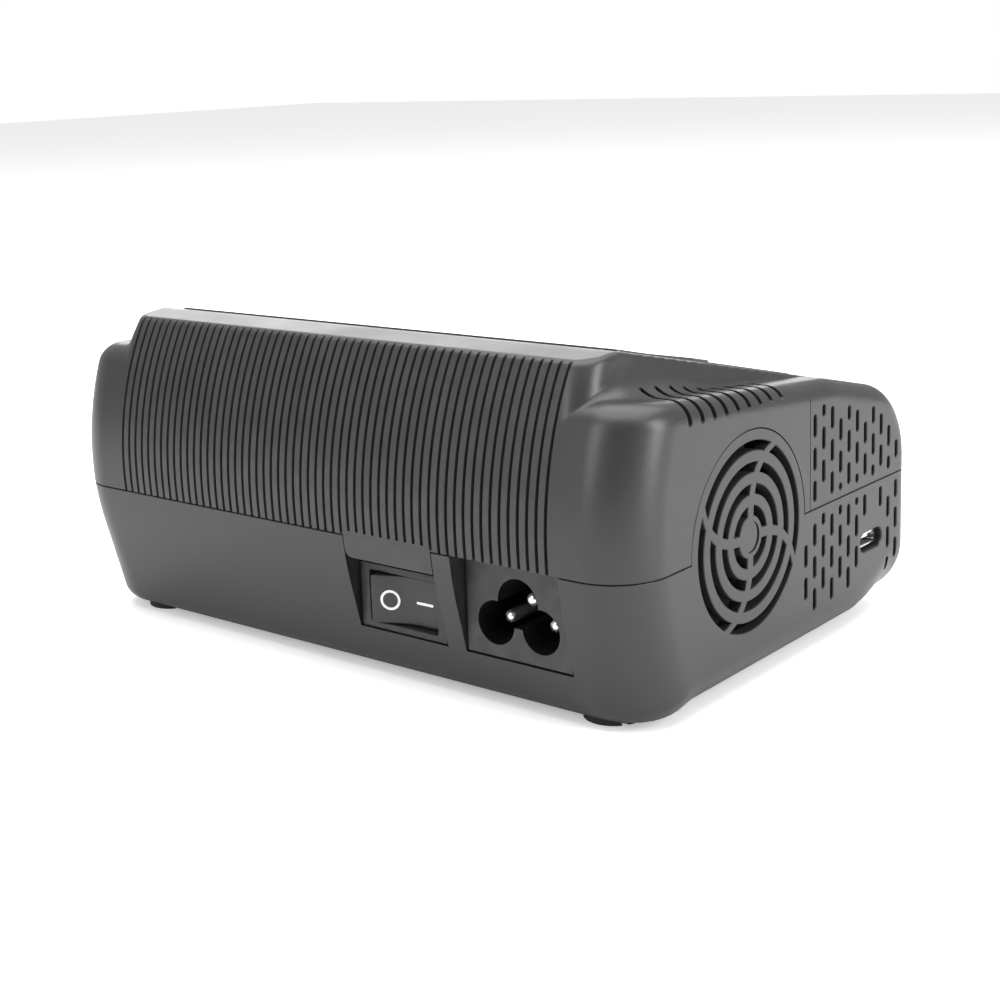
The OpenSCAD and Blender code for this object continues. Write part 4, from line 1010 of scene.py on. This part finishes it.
# ---- the rest of the frame ----
NODES_BY_SLOT = {
    "case_upper": ("upper_shell",),
    "case_lower": ("lower_shell",),
    "overlay_film": ("top_overlay",),
    "clear_window": ("display_window",),
    "display_metal": ("display_module",),
    "board_green": ("display_board", "main_board"),
    "board_tan": ("power_board",),
    "button_plastic": ("button_stop", "button_down", "button_up", "button_start"),
    "black_plastic": ("key_switches", "fan_frame", "fan_rotor", "buzzer"),
    "switch_plastic": ("switch_housing", "mains_inlet"),
    "rocker_plastic": ("rocker",),
    "contact_gold": ("switch_terminals", "output_contacts"),
    "pin_chrome": ("inlet_pins",),
    "screw_steel": ("fan_screws", "case_screws", "board_screws"),
    "chip_black": ("control_chip", "supply_transistors"),
    "ferrite": ("buck_inductor", "transformer_core"),
    "heat_sink": ("main_heat_sink", "supply_heat_sink"),
    "plated_steel": ("usb_socket", "balance_pins"),
    "socket_white": ("usb_tongue", "balance_2s", "balance_3s", "balance_4s", "balance_5s",
                     "balance_6s"),
    "socket_red": ("output_sockets",),
    "coil_tape": ("transformer_coil",),
    "capacitor_sleeve": ("bulk_capacitors",),
    "copper_winding": ("line_choke",),
    "lead_brown": ("mains_leads",),
    "foot_rubber": ("rubber_feet",),
}
BEVELS_MM = {
    0.6: ("bulk_capacitors",),
    0.35: ("button_stop", "button_down", "button_up", "button_start"),
    0.3: ("buzzer",),
    0.25: ("output_sockets",),
    0.15: ("display_window",),
    0.12: ("balance_2s", "balance_3s", "balance_4s", "balance_5s", "balance_6s"),
    0.1: ("usb_tongue", "main_heat_sink"),
}


def dress_nodes():
    """Finishes and soft edges for the CAD nodes."""
    for slot, names in NODES_BY_SLOT.items():
        for name in names:
            materials = NODES[name].data.materials
            materials.clear()
            materials.append(FINISHES[slot])
    for width, names in BEVELS_MM.items():
        for name in names:
            mod = NODES[name].modifiers.new("edge", "BEVEL")
            mod.width = width * MM
            mod.segments = 2
            mod.limit_method = "ANGLE"
            mod.angle_limit = math.radians(40)


# ---- stage ----
def build_stage(stage):
    """The pale floor, the even surround, the soft lights and the camera."""
    scene = bpy.context.scene
    scene.view_settings.view_transform = "Standard"
    floor = Solid().box((-3000, -3000, -20), (3000, 3000, 0))
    obj = as_object(floor, "floor")
    obj.data.transform(Matrix.Scale(MM, 4))
    pale = bpy.data.materials.new("floor_paper")
    pale.use_nodes = True
    shader = pale.node_tree.nodes["Principled BSDF"]
    shader.inputs["Base Color"].default_value = (0.93, 0.93, 0.93, 1)
    shader.inputs["Roughness"].default_value = 0.9
    shader.inputs["Specular IOR Level"].default_value = 0.0
    obj.data.materials.append(pale)

    tree = pale.node_tree
    seen = put(tree, "ShaderNodeLightPath")
    glow = math_node(tree, "MULTIPLY", seen.outputs["Is Camera Ray"], stage.floor_glow)
    shader.inputs["Emission Color"].default_value = (1, 1, 1, 1)
    tree.links.new(glow, shader.inputs["Emission Strength"])

    world = bpy.data.worlds.new("studio")
    world.use_nodes = True
    tree = world.node_tree
    ground = tree.nodes["Background"]
    ground.inputs[0].default_value = (1, 1, 1, 1)
    seen = put(tree, "ShaderNodeLightPath")
    place = put(tree, "ShaderNodeTexCoord")
    toward = Vector(stage.camera).normalized()
    facing = put(tree, "ShaderNodeVectorMath", {0: place.outputs["Generated"], 1: toward},
                 operation="DOT_PRODUCT")
    gap = put(tree, "ShaderNodeMapRange", {
        "Value": facing.outputs["Value"], "From Min": 0.8, "From Max": 0.97,
        "To Min": stage.surround, "To Max": stage.surround * 0.25})
    lit = math_node(tree, "MAXIMUM", gap.outputs[0], seen.outputs["Is Camera Ray"])
    tree.links.new(lit, ground.inputs[1])
    scene.world = world

    def soft_light(name, place, aim, size, power):
        """A rectangular light at a place, aimed at another."""
        data = bpy.data.lights.new(name, "AREA")
        data.shape = "RECTANGLE"
        data.size, data.size_y = size
        data.energy = power
        light = bpy.data.objects.new(name, data)
        light.location = place
        light.rotation_euler = (Vector(aim) - Vector(place)).to_track_quat("-Z", "Y").to_euler()
        scene.collection.objects.link(light)

    soft_light("top_light", (0.05, -0.1, 1.0), (0, 0, 0), (1.2, 1.2), stage.top_power)
    soft_light("side_light", (-1.0, -0.15, 0.4), (0, 0, 0.03), (0.3, 0.8), stage.side_power)
    soft_light("back_light", (0.25, 1.0, 0.5), (0, 0, 0.03), (0.3, 0.8), stage.back_power)
    soft_light("rim_light", (0.82, -0.98, 0.36), (0, 0, 0.05), (0.9, 0.4), stage.rim_power)

    yaw, pitch, roll = math.radians(-39.9), math.radians(11.75), math.radians(2.14)
    forward = Vector((-math.sin(yaw) * math.cos(pitch), -math.cos(yaw) * math.cos(pitch),
                      -math.sin(pitch)))
    right0 = Vector((-math.cos(yaw), math.sin(yaw), 0))
    down0 = forward.cross(right0)
    right = math.cos(roll) * right0 + math.sin(roll) * down0
    down = -math.sin(roll) * right0 + math.cos(roll) * down0
    data = bpy.data.cameras.new("camera")
    data.sensor_width = 36.0
    data.lens = stage.lens
    data.shift_x = stage.shift_x
    data.shift_y = stage.shift_y
    data.clip_start = 0.01
    camera = bpy.data.objects.new("camera", data)
    camera.matrix_world = Matrix((
        (right.x, -down.x, -forward.x, stage.camera[0]),
        (right.y, -down.y, -forward.y, stage.camera[1]),
        (right.z, -down.z, -forward.z, stage.camera[2]),
        (0, 0, 0, 1)))
    scene.collection.objects.link(camera)
    scene.camera = camera


# ---- add-on ----
class ChargerSizes(bpy.types.PropertyGroup):
    wall: bpy.props.FloatProperty(
        name="Wall", description="Thickness of both shells", default=0.0024, unit="LENGTH")
    groove_depth: bpy.props.FloatProperty(
        name="Groove depth", description="Depth of the grooves in the back", default=0.0007,
        unit="LENGTH")


class ChargerColours(bpy.types.PropertyGroup):
    case: bpy.props.FloatVectorProperty(
        name="Case", description="Colour of the case plastic", default=(0.022, 0.022, 0.0225),
        subtype="COLOR", min=0, max=1)
    case_rough: bpy.props.FloatProperty(
        name="Case roughness", description="Roughness of the case plastic", default=0.36,
        min=0, max=1)


class ChargerStage(bpy.types.PropertyGroup):
    surround: bpy.props.FloatProperty(
        name="Surround", description="Strength of the light all round", default=0.55)
    floor_glow: bpy.props.FloatProperty(
        name="Floor glow", description="Light added to the floor where it is seen", default=0.35)
    top_power: bpy.props.FloatProperty(
        name="Top light", description="Power of the light above", default=16.0, unit="POWER")
    side_power: bpy.props.FloatProperty(
        name="Side light", description="Power of the light on the fan side", default=9.0,
        unit="POWER")
    back_power: bpy.props.FloatProperty(
        name="Back light", description="Power of the light on the back", default=4.0, unit="POWER")
    rim_power: bpy.props.FloatProperty(
        name="Rim light", description="Power of the light beyond the front", default=4.0,
        unit="POWER")
    lens: bpy.props.FloatProperty(
        name="Lens", description="Focal length in millimetres", default=61.9272)
    shift_x: bpy.props.FloatProperty(
        name="Shift across", description="Sideways shift of the lens", default=0.0279)
    shift_y: bpy.props.FloatProperty(
        name="Shift up", description="Upward shift of the lens", default=-0.0899)
    camera: bpy.props.FloatVectorProperty(
        name="Camera", description="Place of the camera", default=(-0.2248, 0.2717, 0.1156),
        subtype="TRANSLATION", unit="LENGTH")


class CHARGER_OT_finishes(bpy.types.Operator):
    """Makes the finishes and dresses the CAD nodes with them"""
    bl_idname = "charger.finishes"
    bl_label = "Finishes"

    def execute(self, context):
        make_finishes(context.scene.charger_colours)
        dress_nodes()
        return {"FINISHED"}


class CHARGER_OT_upper(bpy.types.Operator):
    """Builds the upper shell with its grooves, slots and deck"""
    bl_idname = "charger.upper"
    bl_label = "Upper shell"

    def execute(self, context):
        build_upper(context.scene.charger_sizes)
        return {"FINISHED"}


class CHARGER_OT_lower(bpy.types.Operator):
    """Builds the lower shell with its grille and recesses"""
    bl_idname = "charger.lower"
    bl_label = "Lower shell"

    def execute(self, context):
        build_lower(context.scene.charger_sizes)
        return {"FINISHED"}


class CHARGER_OT_switch(bpy.types.Operator):
    """Builds the switch and its rocker with two marks"""
    bl_idname = "charger.switch"
    bl_label = "Switch"

    def execute(self, context):
        build_switch()
        return {"FINISHED"}


class CHARGER_OT_inlet(bpy.types.Operator):
    """Builds the mains inlet and its pins"""
    bl_idname = "charger.inlet"
    bl_label = "Mains inlet"

    def execute(self, context):
        build_inlet()
        return {"FINISHED"}


class CHARGER_OT_stage(bpy.types.Operator):
    """Builds the floor, the lights and the camera"""
    bl_idname = "charger.stage"
    bl_label = "Stage"

    def execute(self, context):
        build_stage(context.scene.charger_stage)
        return {"FINISHED"}


STEPS = ("stage", "finishes", "upper", "lower", "switch", "inlet")


class CHARGER_PT_panel(bpy.types.Panel):
    """Lists the pieces of the charger"""
    bl_idname = "CHARGER_PT_panel"
    bl_label = "Balance charger"
    bl_space_type = "VIEW_3D"
    bl_region_type = "UI"
    bl_category = "Charger"

    def draw(self, context):
        for group in ("charger_sizes", "charger_colours", "charger_stage"):
            box = self.layout.box()
            settings = getattr(context.scene, group)
            for key in settings.__annotations__:
                box.prop(settings, key)
        for step in STEPS:
            self.layout.operator(f"charger.{step}")


CLASSES = (ChargerSizes, ChargerColours, ChargerStage, CHARGER_OT_finishes, CHARGER_OT_upper,
           CHARGER_OT_lower, CHARGER_OT_switch, CHARGER_OT_inlet, CHARGER_OT_stage,
           CHARGER_PT_panel)


def register():
    for cls in CLASSES:
        bpy.utils.register_class(cls)
    bpy.types.Scene.charger_sizes = bpy.props.PointerProperty(type=ChargerSizes)
    bpy.types.Scene.charger_colours = bpy.props.PointerProperty(type=ChargerColours)
    bpy.types.Scene.charger_stage = bpy.props.PointerProperty(type=ChargerStage)


def unregister():
    del bpy.types.Scene.charger_stage
    del bpy.types.Scene.charger_colours
    del bpy.types.Scene.charger_sizes
    for cls in reversed(CLASSES):
        bpy.utils.unregister_class(cls)


def main():
    register()
    for step in STEPS:
        getattr(bpy.ops.charger, step)()


if __name__ == "__main__":
    main()
